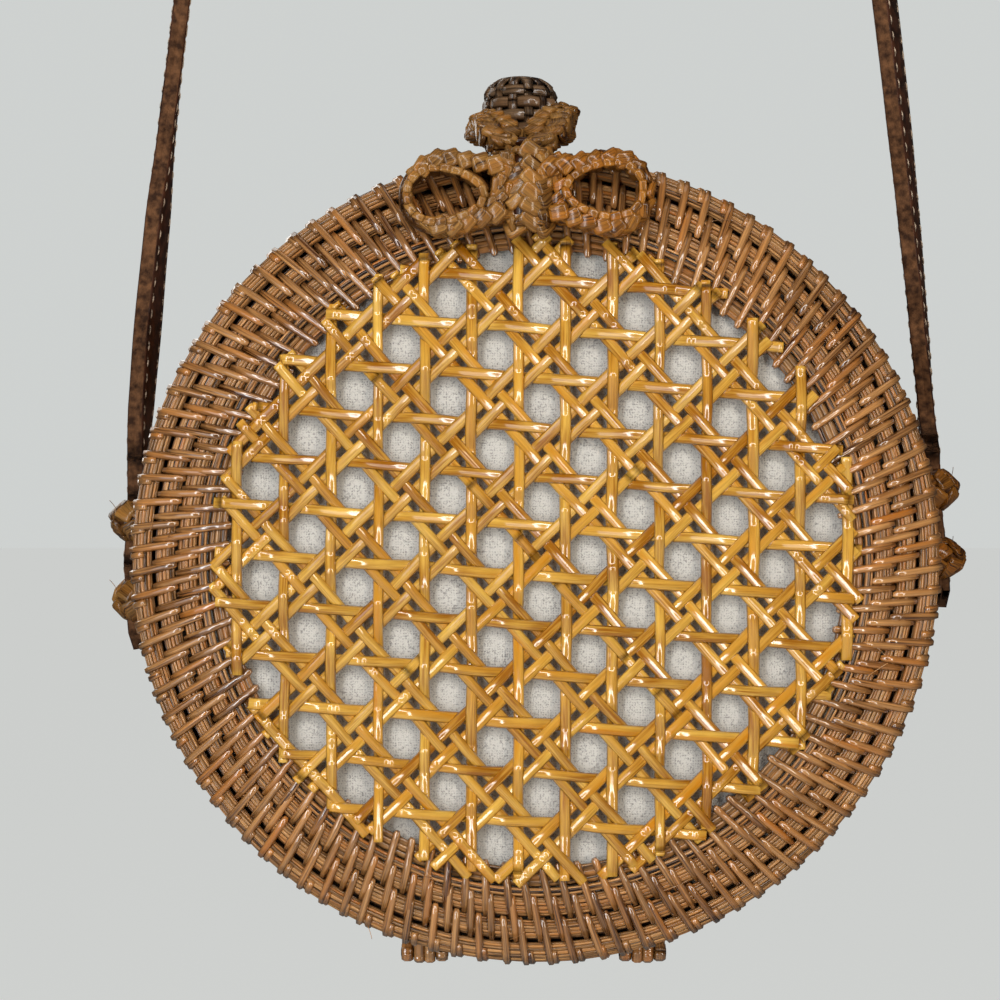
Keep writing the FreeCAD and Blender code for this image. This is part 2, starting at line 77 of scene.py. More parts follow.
# %% The bag's centre in the frame
SEAM_GAP = 0.6
wall_low, wall_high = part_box("front_wall")
middle_x, middle_z = (wall_low.x + wall_high.x) / 2, (wall_low.z + wall_high.z) / 2
bag_centre = Vector((middle_x, wall_high.y + SEAM_GAP / 2000, middle_z))
TO_FRAME = Matrix.Translation(bag_centre) @ Matrix.Scale(0.001, 4)
print("bag centre:", [round(value, 4) for value in bag_centre])

# %% [markdown]
# ## Camera
# The bag is seen straight from the front, from a little over half a metre, so its rim hides the side walls
# and the strap's two sides lean in. A lens of about 82 mm on a full frame gives that mild perspective. The
# camera stands a little left of the bag and a little above its centre.

# %% Camera
CAMERA_PLACE = Vector((-8.8, -594.8, 14.4))
camera_data = bpy.data.cameras.new("camera")
camera_data.lens = 81.7
camera_data.sensor_width = 36.0
camera = bpy.data.objects.new("camera", camera_data)
camera.location = TO_FRAME @ CAMERA_PLACE
camera.rotation_euler = (math.radians(90), 0, 0)
scene.collection.objects.link(camera)
scene.camera = camera
scene.view_settings.view_transform = "Standard"
print("camera:", round(-CAMERA_PLACE.y), "mm in front of the seam")

# %% [markdown]
# ## Lamps
# Varnished cane shows a lamp as a bright line along the strand, but only if the lamp lies square to that
# strand. One big lamp would leave most strands without a line. So a soft window on the left gives the shape,
# and slim bars stand in an arch around the camera: upright ones for the uprights, a level one for the levels
# and two turned by 45 degrees for the slanting pairs. All of them are weak.


# %% Lamps
def soft_lamp(name, place, width, height, power, colour, roll=0):
    """A rectangle of light that faces the bag, turned about its own axis by the roll in degrees."""
    data = bpy.data.lights.new(name, "AREA")
    data.shape = "RECTANGLE"
    data.size = width
    data.size_y = height
    data.energy = power
    data.color = colour
    lamp = bpy.data.objects.new(name, data)
    lamp.location = bag_centre + Vector(place)
    facing = (bag_centre - lamp.location).to_track_quat("-Z", "Y").to_matrix()
    lamp.rotation_euler = (facing @ Matrix.Rotation(math.radians(roll), 3, "Z")).to_euler()
    scene.collection.objects.link(lamp)


soft_lamp("window_left", (-0.75, -0.95, -0.05), 0.9, 0.9, 4.2, (0.86, 0.93, 1.0))
soft_lamp("window_bar", (-0.55, -1.1, -0.05), 0.18, 0.9, 4.2, (0.94, 0.97, 1.0))
soft_lamp("room_right", (0.6, -1.05, -0.1), 0.12, 0.7, 3.6, (1.0, 0.92, 0.8))
soft_lamp("top_light", (-0.1, -1.0, 0.7), 1.0, 0.18, 3.9, (1.0, 0.98, 0.95))
soft_lamp("high_left", (-0.5, -1.0, 0.5), 0.6, 0.17, 2.6, (1.0, 0.98, 0.95), 45)
soft_lamp("high_right", (0.45, -1.0, 0.5), 0.6, 0.17, 2.4, (1.0, 0.97, 0.92), -45)
soft_lamp("ceiling", (0.1, 0.1, 1.1), 0.8, 0.8, 1.2, (1.0, 0.98, 0.94))
soft_lamp("room_behind", (-0.5, 1.0, 0.4), 0.8, 0.8, 4.0, (1.0, 0.97, 0.92))

# %% [markdown]
# ## The pale room
# The world is both the backdrop and the light from all around. A Light Path node tells these apart: the
# camera sees a pale wall, the fibre gets a weaker light, and the varnish an almost dark room, so that it
# mirrors the lamps and doesn't turn grey. This costs no extra light on the bag.

# %% The room around the bag
WALL_COLOUR = (0.62, 0.64, 0.63, 1)
world = bpy.data.worlds.new("pale_room")
scene.world = world
world.use_nodes = True
tree = world.node_tree
rays = tree.nodes.new("ShaderNodeLightPath")
seen_in_varnish = tree.nodes.new("ShaderNodeMix")
seen_in_varnish.inputs["A"].default_value = 0.27
seen_in_varnish.inputs["B"].default_value = 0.06
tree.links.new(rays.outputs["Is Glossy Ray"], seen_in_varnish.inputs["Factor"])
seen_by_camera = tree.nodes.new("ShaderNodeMix")
seen_by_camera.inputs["B"].default_value = 1.0
tree.links.new(rays.outputs["Is Camera Ray"], seen_by_camera.inputs["Factor"])
tree.links.new(seen_in_varnish.outputs["Result"], seen_by_camera.inputs["A"])
backdrop = tree.nodes["Background"]
backdrop.inputs["Color"].default_value = WALL_COLOUR
tree.links.new(seen_by_camera.outputs["Result"], backdrop.inputs["Strength"])
print("backdrop:", [round(value, 2) for value in WALL_COLOUR[:3]])

# %% [markdown]
# ## The floor
# A wide pale disc lies well below the bag, so that the bag clearly hangs. Its own colour is darker than the
# wall, because it receives the lamps too, and a glow that only the camera sees brings both to the same
# tone. The horizon then all but disappears, and the bag's soft shadow stays.

# %% Floor
FLOOR_DROP, FLOOR_RADIUS, FLOOR_GLOW = 0.62, 30.0, 0.551
floor_work = bmesh.new()
bmesh.ops.create_circle(floor_work, cap_ends=True, segments=96, radius=FLOOR_RADIUS)
bmesh.ops.translate(floor_work, verts=floor_work.verts, vec=bag_centre + Vector((0, 0, -FLOOR_DROP)))
floor_mesh = bpy.data.meshes.new("floor")
floor_work.to_mesh(floor_mesh)
floor_work.free()
floor = bpy.data.objects.new("floor", floor_mesh)
scene.collection.objects.link(floor)
floor_paint = bpy.data.materials.new("pale_floor")
floor_paint.use_nodes = True
floor_tree = floor_paint.node_tree
floor_shader = floor_tree.nodes["Principled BSDF"]
floor_shader.inputs["Base Color"].default_value = (0.4, 0.4, 0.39, 1)
floor_shader.inputs["Roughness"].default_value = 0.9
floor_shader.inputs["Emission Color"].default_value = (0.98, 1.0, 0.98, 1)
floor_rays = floor_tree.nodes.new("ShaderNodeLightPath")
glow = floor_tree.nodes.new("ShaderNodeMath")
glow.operation = "MULTIPLY"
glow.inputs[1].default_value = FLOOR_GLOW
floor_tree.links.new(floor_rays.outputs["Is Camera Ray"], glow.inputs[0])
floor_tree.links.new(glow.outputs[0], floor_shader.inputs["Emission Strength"])
floor_mesh.materials.append(floor_paint)
print("floor at", round(floor_mesh.vertices[0].co.z, 3))

# %% [markdown]
# ## Short words for nodes
# The materials below are all built from the same few nodes, so four helpers keep their recipes short: one
# links two sockets, one adds a Math node, one a noise, and one an empty group with named sockets.


# %% Helpers for materials
def link(tree, source, target):
    tree.links.new(source, target)


def math_node(tree, operation, first, second):
    """A Math node whose inputs are sockets or plain numbers."""
    node = tree.nodes.new("ShaderNodeMath")
    node.operation = operation
    for socket, value in zip(node.inputs, (first, second)):
        if isinstance(value, bpy.types.NodeSocket):
            link(tree, value, socket)
        else:
            socket.default_value = value
    return node.outputs[0]


def noise_node(tree, vector, scale, detail):
    """The value of a noise over a vector."""
    node = tree.nodes.new("ShaderNodeTexNoise")
    node.inputs["Scale"].default_value = scale
    node.inputs["Detail"].default_value = detail
    link(tree, vector, node.inputs["Vector"])
    return node.outputs["Fac"]


def new_group(name, inputs, outputs):
    """An empty shader group with named sockets: {name: socket type}."""
    group = bpy.data.node_groups.new(name, "ShaderNodeTree")
    for direction, sockets in (("INPUT", inputs), ("OUTPUT", outputs)):
        for label, kind in sockets.items():
            group.interface.new_socket(name=label, in_out=direction, socket_type=kind)
    return group, group.nodes.new("NodeGroupInput"), group.nodes.new("NodeGroupOutput")


print("helpers:", [helper.__name__ for helper in (link, math_node, noise_node, new_group)])

# %% [markdown]
# ## What all the plant fibre shares
# Rattan, cane and splints are all the same palm stem, split to different sizes. Its fibres run lengthwise,
# so the colour changes slowly along a strand and quickly across it. Each mesh therefore carries two
# attributes: `grain`, a place in the fibre that is stretched along the strand, and `tone`, how light this
# strand is beside its neighbours. One node group turns both into a colour, a fine ribbed height and a
# roughness, and each material gives the group its own dark, light and warm colour.

# %% A node group for split rattan
split_rattan, given, made = new_group(
    "split_rattan",
    {"Grain": "NodeSocketVector", "Tone": "NodeSocketFloat",
     "Dark": "NodeSocketColor", "Light": "NodeSocketColor", "Warm": "NodeSocketColor"},
    {"Color": "NodeSocketColor", "Height": "NodeSocketFloat", "Roughness": "NodeSocketFloat"},
)


def around_zero(value, middle, gain):
    """Shift a noise so that its middle is zero, and stretch it."""
    return math_node(split_rattan, "MULTIPLY", math_node(split_rattan, "SUBTRACT", value, middle), gain)


def colour_mix(factor, first, second):
    """A clamped mix of two colours; in a Mix node these are sockets 6 and 7, and the result is output 2."""
    node = split_rattan.nodes.new("ShaderNodeMix")
    node.data_type = "RGBA"
    sockets = (node.inputs["Factor"], node.inputs[6], node.inputs[7])
    for source, target in zip((factor, first, second), sockets):
        link(split_rattan, source, target)
    return node.outputs[2]


fibres = noise_node(split_rattan, given.outputs["Grain"], 1.0, 3.0)
stains = noise_node(split_rattan, given.outputs["Grain"], 0.23, 2.0)
streaks = math_node(split_rattan, "ADD", around_zero(fibres, 0.5, 1.9), around_zero(stains, 0.5, 0.8))
shade = math_node(split_rattan, "ADD", streaks, given.outputs["Tone"])
plain = colour_mix(shade, given.outputs["Dark"], given.outputs["Light"])
warmth = around_zero(noise_node(split_rattan, given.outputs["Grain"], 0.13, 1.0), 0.42, 3.2)
warmed = colour_mix(math_node(split_rattan, "MULTIPLY", warmth, shade), plain, given.outputs["Warm"])
link(split_rattan, warmed, made.inputs["Color"])
scuffs = noise_node(split_rattan, given.outputs["Grain"], 2.3, 2.0)
height = math_node(split_rattan, "ADD", fibres, math_node(split_rattan, "MULTIPLY", scuffs, 0.6))
link(split_rattan, height, made.inputs["Height"])
rough = math_node(split_rattan, "ADD", math_node(split_rattan, "MULTIPLY", stains, 0.3), 0.2)
link(split_rattan, rough, made.inputs["Roughness"])
print("nodes in the group:", len(split_rattan.nodes))

# %% [markdown]
# ## Varnished fibre
# The finished bag was brushed with varnish, thick on the cane and thin on the splints. Varnish is a clear
# layer over a rough one, which is what the shader's coat is for: the fibre's ribs stay below it and the
# lamps mirror on top. Its index of refraction is set high, because the glints are what makes cane look wet.


# %% Finishes of splints, stitches and cane
def rattan_finish(name, dark, light, warm, varnish, ribs):
    """Split rattan: its darkest, lightest and warmest colour, its varnish and how deep its ribs are."""
    material = bpy.data.materials.new(name)
    material.use_nodes = True
    tree = material.node_tree
    shader = tree.nodes["Principled BSDF"]
    shader.inputs["Specular IOR Level"].default_value = 0.1
    shader.inputs["Coat Weight"].default_value = varnish
    shader.inputs["Coat Roughness"].default_value = 0.12
    shader.inputs["Coat IOR"].default_value = 1.9
    group = tree.nodes.new("ShaderNodeGroup")
    group.node_tree = split_rattan
    for label, colour in (("Dark", dark), ("Light", light), ("Warm", warm)):
        group.inputs[label].default_value = (*colour, 1)
    for label, output in (("grain", "Vector"), ("tone", "Fac")):
        attribute = tree.nodes.new("ShaderNodeAttribute")
        attribute.attribute_name = label
        link(tree, attribute.outputs[output], group.inputs[label.capitalize()])
    link(tree, group.outputs["Color"], shader.inputs["Base Color"])
    link(tree, group.outputs["Roughness"], shader.inputs["Roughness"])
    bump = tree.nodes.new("ShaderNodeBump")
    bump.inputs["Distance"].default_value = 0.0002
    bump.inputs["Strength"].default_value = ribs
    place = tree.nodes.new("ShaderNodeTexCoord").outputs["Object"]
    dents = math_node(tree, "MULTIPLY", noise_node(tree, place, 420.0, 2.0), 0.9)
    link(tree, math_node(tree, "ADD", group.outputs["Height"], dents), bump.inputs["Height"])
    link(tree, bump.outputs["Normal"], shader.inputs["Normal"])
    return material


splint_finish = rattan_finish(
    "splints", (0.011, 0.002, 0.0002), (0.54, 0.27, 0.095), (0.34, 0.10, 0.008), 0.4, 0.9)
stitch_finish = rattan_finish(
    "stitches", (0.05, 0.011, 0.001), (0.62, 0.30, 0.10), (0.44, 0.13, 0.008), 1.0, 0.4)
cane_finish = rattan_finish(
    "varnished_cane", (0.34, 0.115, 0.002), (0.80, 0.46, 0.075), (0.60, 0.22, 0.004), 1.0, 0.5)
print("fibre materials:", [splint_finish.name, stitch_finish.name, cane_finish.name])

# %% [markdown]
# ## A strip of palm
# Nearly everything on this bag is a strip: stitches, webbing, plaits, lashings. A strip could be a curve
# with a bevel, but then its ends and its grain are hard to reach. So one straight strip is extruded from a
# flattened circle, and copies of it are bent to wherever they belong.

# %% One straight strip
ALONG_GRAIN = 0.12  # fibres are long: little change per millimetre along them
ACROSS_GRAIN = 2.6


def new_work():
    """An empty mesh to model in, with the two attributes of plant fibre."""
    work = bmesh.new()
    work.verts.layers.float.new("tone")
    work.verts.layers.float_vector.new("grain")
    return work


def as_mesh(work, name):
    """Turn the work into a mesh and let the work go."""
    mesh = bpy.data.meshes.new(name)
    work.to_mesh(mesh)
    work.free()
    return mesh


def straight_strip(segments, sides, crown, underside):
    """A strip of length 1 along X and half-width 1: crowned on top, flatter underneath."""
    work = new_work()
    bmesh.ops.create_circle(work, cap_ends=True, segments=sides, radius=1.0)
    to_x = Matrix.Rotation(math.radians(90), 3, "Y")
    bmesh.ops.rotate(work, verts=work.verts, cent=(0, 0, 0), matrix=to_x)
    for point in work.verts:
        height = abs(point.co.z) ** crown
        point.co.z = height if point.co.z > 0 else -height * underside
    work.faces.ensure_lookup_table()
    cap = work.faces[0]
    for number in range(segments):
        moved = bmesh.ops.extrude_face_region(work, geom=[cap])["geom"]
        cap = next(item for item in moved if isinstance(item, bmesh.types.BMFace))
        bmesh.ops.translate(work, verts=cap.verts, vec=(1 / segments, 0, 0))
    return as_mesh(work, "strip")


stitch_strip = straight_strip(8, 6, 0.9, 0.25)
print("one stitch has", len(stitch_strip.polygons), "faces")

# %% [markdown]
# ## Laying a strip
# To lay a strip, a copy is added to the work and each of its points goes through a bend function, which says
# where a place along, across and above the strip ends up. Bending moves points only, so every strip stays
# closed and its faces stay in order. The fibre's grain is written down before the bend, while the strip is
# still straight, so it follows every curve.


# %% Lay, join and finish
def lay(work, strip, length, width, tone, seed, bend):
    """Add a copy of a strip to the work and carry its points through bend(along, across, up)."""
    first = len(work.verts)
    work.from_mesh(strip)
    work.verts.ensure_lookup_table()
    grain_layer = work.verts.layers.float_vector["grain"]
    tone_layer = work.verts.layers.float["tone"]
    points = work.verts[first:]
    for point in points:
        along, across, up = point.co
        grain = (along * length * ALONG_GRAIN, (across + up) * width * ACROSS_GRAIN / 2, seed)
        point[grain_layer] = grain
        point[tone_layer] = tone
        point.co = bend(along, across, up)
    return points


def join_into(work, part):
    """Add a finished part to the work."""
    mesh = as_mesh(part, "part")
    work.from_mesh(mesh)
    bpy.data.meshes.remove(mesh)


def smooth_object(work, name, materials):
    """Turn the work into an object in the frame, with faces outwards and smooth."""
    bmesh.ops.recalc_face_normals(work, faces=work.faces)
    for face in work.faces:
        face.smooth = True
    work.transform(TO_FRAME)
    mesh = as_mesh(work, name)
    for material in materials:
        mesh.materials.append(material)
    piece = bpy.data.objects.new(name, mesh)
    scene.collection.objects.link(piece)
    print(name, "triangles:", sum(len(face.vertices) - 2 for face in mesh.polygons))
    return piece


def finish_piece(work, name, material, body, slot, *stands_for):
    """Turn the work into a piece of the bag that rides on a body."""
    piece = smooth_object(work, name, [material])
    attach(piece, body)
    if stands_for:
        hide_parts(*stands_for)
    return piece


print("grain per millimetre:", ALONG_GRAIN, "along,", ACROSS_GRAIN, "across")

# %% [markdown]
# ## The size of the coils
# The bag is 200 millimetres across and 80 deep, and its wall is one coil thick. The outermost coil therefore
# lies one stitch and one coil radius inside that size, and the others follow from it in even steps. All
# chance in this lesson comes from one generator with a fixed seed, so that every run makes the same bag.

# %% Sizes of the coils
BAG_RADIUS = 100.0
HALF_DEPTH = 39.8
COIL_PITCH, WALL_PITCH = 5.6, 5.52
COIL_RADIUS = 2.4
STITCH_THICKNESS, RIM_STITCH = 0.8, 1.1
OUTER_COIL_R = BAG_RADIUS - STITCH_THICKNESS - COIL_RADIUS
COIL_DEPTH = HALF_DEPTH - STITCH_THICKNESS - COIL_RADIUS
SEEDS = 900  # each strip reads its grain at its own place, up to this far into the noise
draw = random.Random(7)
print("outermost coil: radius", OUTER_COIL_R, "depth", COIL_DEPTH)

# %% [markdown]
# ## Coils of splints
# A coil is a bundle of fine split stems, about five millimetres thick in all. The bundle could be one ring
# with a bumpy section, but then all its lines would be perfect circles. Here each splint is its own thin
# ring, made by spinning a small section round the bag's axis, and a slow noise lets it wander and cross its
# neighbours a little. A core ring behind them closes the gaps; it is painted nearly black, as painted shade
# between the splints.

# %% Splints and bundles
SPLINT_STEP = math.radians(24)
SPLINT_THICKNESS, SPLINT_WANDER, WANDER_LENGTH = 0.55, 0.22, 24
# The core ring's tone is almost black: painted shade in the gaps between the splints.
CORE_DROP, CORE_SHADE_TONE = 0.35, 0.05
FEWEST_STEPS, STEPS_PER_MM = 24, 1.5


def way_at(angle):
    """The direction at an angle, as a flat unit vector."""
    return Vector((math.cos(angle), math.sin(angle)))


def spin_round(work, places, closed, steps):
    """Spin a section of (radius, depth) places once round the bag's axis."""
    points = [work.verts.new((radius, -depth, 0)) for radius, depth in places]
    after = points[1:] + points[:1] if closed else points[1:]
    edges = [work.edges.new(pair) for pair in zip(points, after)]
    bmesh.ops.spin(work, geom=points + edges, cent=(0, 0, 0), axis=(0, -1, 0), dvec=(0, 0, 0),
                   angle=2 * math.pi, steps=steps, use_merge=True)


def spun_ring(work, section, tone, seed, wander):
    """Add a ring with a closed section of (radius, depth) points, which wanders a little."""
    ring = new_work()
    middle = sum((Vector(place) for place in section), Vector((0, 0))) / len(section)
    spin_round(ring, section, True, max(FEWEST_STEPS, round(middle.x * STEPS_PER_MM)))
    tone_layer = ring.verts.layers.float["tone"]
    grain_layer = ring.verts.layers.float_vector["grain"]
    for point in ring.verts:
        radius = math.hypot(point.co.x, point.co.z)
        around = Vector((point.co.x, point.co.z)) / radius
        across = (radius - middle.x) - (point.co.y + middle.y)
        point[tone_layer] = tone
        point[grain_layer] = (around.x * middle.x * ALONG_GRAIN, around.y * middle.x * ALONG_GRAIN,
                              across * ACROSS_GRAIN + seed)
        slow = Vector((around.x * middle.x / WANDER_LENGTH, around.y * middle.x / WANDER_LENGTH, seed))
        out = wander * noise.noise(slow)
        deep = wander * noise.noise(slow + Vector((0, 0, 31)))
        point.co = (around.x * (radius + out), point.co.y - deep, around.y * (radius + out))
    join_into(work, ring)


def oval(centre, half_out, half_side, angle, corners):
    """A closed section: an oval turned so that its first half-axis points along the angle."""
    out = way_at(angle)
    side = Vector((-out.y, out.x))
    turns = [2 * math.pi * corner / corners for corner in range(corners)]
    return [centre + out * half_out * math.cos(turn) + side * half_side * math.sin(turn) for turn in turns]


def splint_coil(work, radius, depth, first_angle, last_angle, coil_radius=COIL_RADIUS):
    """A bundle of splints on a coil's open side, between two angles of its section, over a core painted dark
    as shade.
    """
    centre = Vector((radius, depth))
    core_radius = coil_radius - CORE_DROP
    spun_ring(work, oval(centre, core_radius, core_radius, 0, 8), CORE_SHADE_TONE, 0, 0)
    bundle_tone = draw.uniform(-0.06, 0.06)
    count = max(2, round((last_angle - first_angle) / SPLINT_STEP * coil_radius / COIL_RADIUS))
    for number in range(count + 1):
        angle = first_angle + (last_angle - first_angle) * number / count
        tone = min(0.95, max(0.05, draw.gauss(0.48, 0.2) + bundle_tone))
        out = way_at(angle) * (coil_radius - SPLINT_THICKNESS / 2)
        half_side = COIL_RADIUS * SPLINT_STEP * 0.5
        section = oval(centre + out, SPLINT_THICKNESS / 2, half_side, angle, 6)
        spun_ring(work, section, tone, draw.uniform(0, SEEDS), SPLINT_WANDER)


print("steps round the outermost coil:", round(OUTER_COIL_R * STEPS_PER_MM))

# %% [markdown]
# ## The path of a stitch
# The coils are sewn with half-round cane. Each stitch grips two neighbouring coils, so along the section
# its path is the outside of two circles: round the far shoulder of one coil, straight across, round the far
# shoulder of the next. Nine stations are enough for the eye. Each keeps the way out of its coil, so that
# the strip's thickness can be added later.

# %% Over two coils
STITCH_REACH = COIL_RADIUS - 0.1
STITCH_WRAP = math.radians(104)
STITCH_SAG = 0.12


def over_two_coils(one, other, reach):
    """Stations over two coils, each ((radius, depth), (out, deep)): a place and the way out of the coil."""
    way = (other - one).normalized()
    out_angle = math.atan2(way.x, -way.y)
    stations = []
    for centre, turns in ((one, (1, 0.66, 0.33, 0)), (other, (0, -0.33, -0.66, -1))):
        for turn in turns:
            out = way_at(out_angle + turn * STITCH_WRAP)
            stations.append((centre + out * reach, out))
    middle = (stations[3][0] + stations[4][0]) / 2 - stations[3][1] * STITCH_SAG
    return stations[:4] + [(middle, stations[3][1])] + stations[4:]


print("stations of a stitch:", len(over_two_coils(Vector((90, 30)), Vector((95, 30)), STITCH_REACH)))

# %% [markdown]
# ## A row of stitches
# One stitch is laid along its stations, leaning a little, and spun round the bag in copies. Then each copy
# gets its own tone and is nudged, a little, the way hands do. Spinning first and nudging afterwards is much
# faster than laying every stitch, and there are more than two thousand of them.

# %% Rows of stitches
STITCHES_ROUND = 104
STITCH_WIDTH = 2.0
STITCH_LEAN = math.tan(math.radians(10))


def stitch_row(work, stations, count, first_turn, tone_at, thickness=STITCH_THICKNESS):
    """Sew one row: a stitch along the stations, in copies all the way round the bag."""
    spans = [(after[0] - before[0]).length for before, after in zip(stations, stations[1:])]
    gone = [sum(spans[:number]) / sum(spans) for number in range(len(stations))]
    length = sum(spans)
    last = len(stations) - 1

    def bend(along, across, up):
        number = round(along * last)
        (radius, depth), out = stations[number]
        sideways = (gone[number] - 0.5) * length * STITCH_LEAN + across * STITCH_WIDTH / 2
        lengthways = -across * STITCH_WIDTH / 2 * STITCH_LEAN
        radius += out.x * up * thickness + lengthways * out.y
        depth += out.y * up * thickness - lengthways * out.x
        turn = first_turn + sideways / radius
        return Vector((radius * math.cos(turn), -depth, radius * math.sin(turn)))

    start = len(work.verts)
    points = lay(work, stitch_strip, length, STITCH_WIDTH, 0.5, 0, bend)
    faces = {face for point in points for face in point.link_faces}
    edges = {edge for point in points for edge in point.link_edges}
    almost_round = 2 * math.pi * (count - 1) / count
    bmesh.ops.spin(work, geom=points + list(edges) + list(faces), cent=(0, 0, 0), axis=(0, -1, 0),
                   dvec=(0, 0, 0), angle=almost_round, steps=count - 1, use_duplicate=True)
    work.verts.ensure_lookup_table()
    tone_layer = work.verts.layers.float["tone"]
    grain_layer = work.verts.layers.float_vector["grain"]
    each = len(stitch_strip.vertices)
    for number in range(count):
        turn = first_turn + 2 * math.pi * number / count
        tone = min(0.95, max(0.05, tone_at(turn) + draw.gauss(0, 0.1)))
        seed = draw.uniform(0, SEEDS)
        nudge, tilt = draw.gauss(0, 0.0032), draw.gauss(0, 0.0035)
        for point in work.verts[start + number * each:start + (number + 1) * each]:
            along, across, _ = point[grain_layer]
            point[grain_layer] = (along, across, seed)
            point[tone_layer] = tone
            share = along / ALONG_GRAIN / length - 0.5
            point.co = Matrix.Rotation(-nudge - tilt * share, 3, "Y") @ point.co


def row_tone(turn):
    """Stitches were dyed in batches: the tone drifts slowly round the bag."""
    return 0.52 + 0.22 * noise.noise(Vector((math.cos(turn) * 1.6, math.sin(turn) * 1.6, 4.0)))


print("stitches in a row:", STITCHES_ROUND)

# %% [markdown]
# ## The coiled halves
# Each half starts at the rim, turns the corner and runs down the side wall to the seam. Both halves are
# built the same way, as seen from outside, and the back one is then turned half round. Only the open side
# of a coil gets splints: three quarters of the section at the corner, half of it elsewhere. Neighbouring
# rows of stitches are half a step apart.

# %% Walls and rim
RIGHT, FRONT, LEFT = 0.0, math.pi / 2, math.pi
WRAP_ROOM = math.radians(12)
WALL_COILS, RIM_COILS = 6, 2
HALF_STEP = math.pi / STITCHES_ROUND
HALF_TURN = Matrix.Rotation(math.pi, 3, "Z")


def to_the_back(work):
    """Turn a front work half round, so that it faces backwards."""
    bmesh.ops.rotate(work, verts=work.verts, cent=(0, 0, 0), matrix=HALF_TURN)


def coil_place(number):
    """Section centre of a coil: 0 is the corner, higher numbers go down the wall, lower ones inwards."""
    return Vector((OUTER_COIL_R + min(number, 0) * COIL_PITCH, COIL_DEPTH - max(number, 0) * WALL_PITCH))


def coils_between(first, last, back=False):
    """The coils from one number to another as a work of splints."""
    work = new_work()
    for number in range(first, last + 1):
        place = coil_place(number)
        low = RIGHT - FRONT - WRAP_ROOM if number >= 0 else RIGHT - WRAP_ROOM
        high = LEFT + WRAP_ROOM if number <= 0 else FRONT + WRAP_ROOM
        splint_coil(work, place.x, place.y, low, high)
    if back:
        to_the_back(work)
    return work


def rows_between(first, last, back=False):
    """The stitch rows from one coil to another: each row grips a coil and the next one."""
    work = new_work()
    for number in range(first, last):
        stations = over_two_coils(coil_place(number), coil_place(number + 1), STITCH_REACH)
        thickness = RIM_STITCH if number < 0 else STITCH_THICKNESS
        stitch_row(work, stations, STITCHES_ROUND, (number % 2) * HALF_STEP, row_tone, thickness)
    if back:
        to_the_back(work)
    return work


def coiled_piece(work, name, material, body, *stands_for):
    """A piece of the coiled body."""
    finish_piece(work, name, material, body, "coiled_rattan", *stands_for)


coiled_piece(coils_between(0, WALL_COILS), "front_wall_coils", splint_finish, "front_half", "front_wall")
coiled_piece(rows_between(0, WALL_COILS), "front_wall_stitches", stitch_finish, "front_half")
rim_coils = coils_between(-RIM_COILS, -1)
coiled_piece(rim_coils, "front_rim_bundles", splint_finish, "front_half", "front_rim_coils")
coiled_piece(rows_between(-RIM_COILS, 0), "front_rim_stitches", stitch_finish, "front_half")
coiled_piece(coils_between(0, WALL_COILS, True), "back_wall_coils", splint_finish, "back_half", "back_wall")
coiled_piece(rows_between(0, WALL_COILS, True), "back_wall_stitches", stitch_finish, "back_half")

# %% [markdown]
# ## The inner edge of the rim
# Inside the thick coils runs one thin coil, then a flat ring of three splints side by side on a thin
# backing. Both are made as the thick coils were, with a smaller bundle and with single flat ovals.

# %% Thin coil and flat ring
THIN_COIL, THIN_RADIUS = Vector((81.8, 37.7)), 1.05
RING_RADII, RING_DEPTH = (79.9, 78.4, 76.95), 36.3
RING_BACKING = [(76.4, 34.2), (80.6, 34.2), (80.6, 36.1), (76.4, 36.1)]
thin_work = new_work()
splint_coil(thin_work, THIN_COIL.x, THIN_COIL.y, RIGHT - WRAP_ROOM, LEFT + WRAP_ROOM, THIN_RADIUS)
coiled_piece(thin_work, "front_thin_bundle", splint_finish, "front_half", "front_rim_thin_coil")

ring_work = new_work()
for radius in RING_RADII:
    section = oval(Vector((radius, RING_DEPTH)), 0.45, 0.82, FRONT, 8)
    spun_ring(ring_work, section, draw.uniform(0.3, 0.7), draw.uniform(0, SEEDS), 0.1)
spun_ring(ring_work, RING_BACKING, 0.2, 5, 0)
finish_piece(ring_work, "front_flat_ring", splint_finish, "front_half", "cane", "front_panel_ring")

# %% [markdown]
# ## The last row of stitches
# The innermost row reaches from the third coil over the thin coil and the flat ring, and hooks round the
# inner edge. Two circles can't describe that path, so its nine stations are given one by one, each with the
# angle of its way out. The left side of this row took more stain than the rest.

# %% Last row
LAST_ROW = [((75.95, 35.6), 165), ((76.15, 36.7), 135), ((77.4, 36.85), 95),
            ((79.6, 37.0), 100), ((81.6, 38.72), 104), ((84.3, 38.85), 96),
            ((86.4, 38.75), 72), ((87.65, 37.6), 25), ((87.9, 36.3), 0)]


def edge_tone(turn):
    """Darker on the left, where the stain pooled."""
    stained = max(0.0, -math.cos(turn + 0.35)) ** 2
    return row_tone(turn) - 0.16 * stained


last_stations = [(Vector(place), way_at(math.radians(angle))) for place, angle in LAST_ROW]
edge_work = new_work()
stitch_row(edge_work, last_stations, STITCHES_ROUND, HALF_STEP, edge_tone, RIM_STITCH)
coiled_piece(edge_work, "front_edge_stitches", stitch_finish, "front_half")

# %% [markdown]
# ## The coiled back
# The back is the same coil carried on to the centre. Its rings get smaller, so each row holds fewer stitches
# than the one outside it. Every row starts half a step further round than the last, and from the
# leaning stitches the back gets the whirl that such bags have.

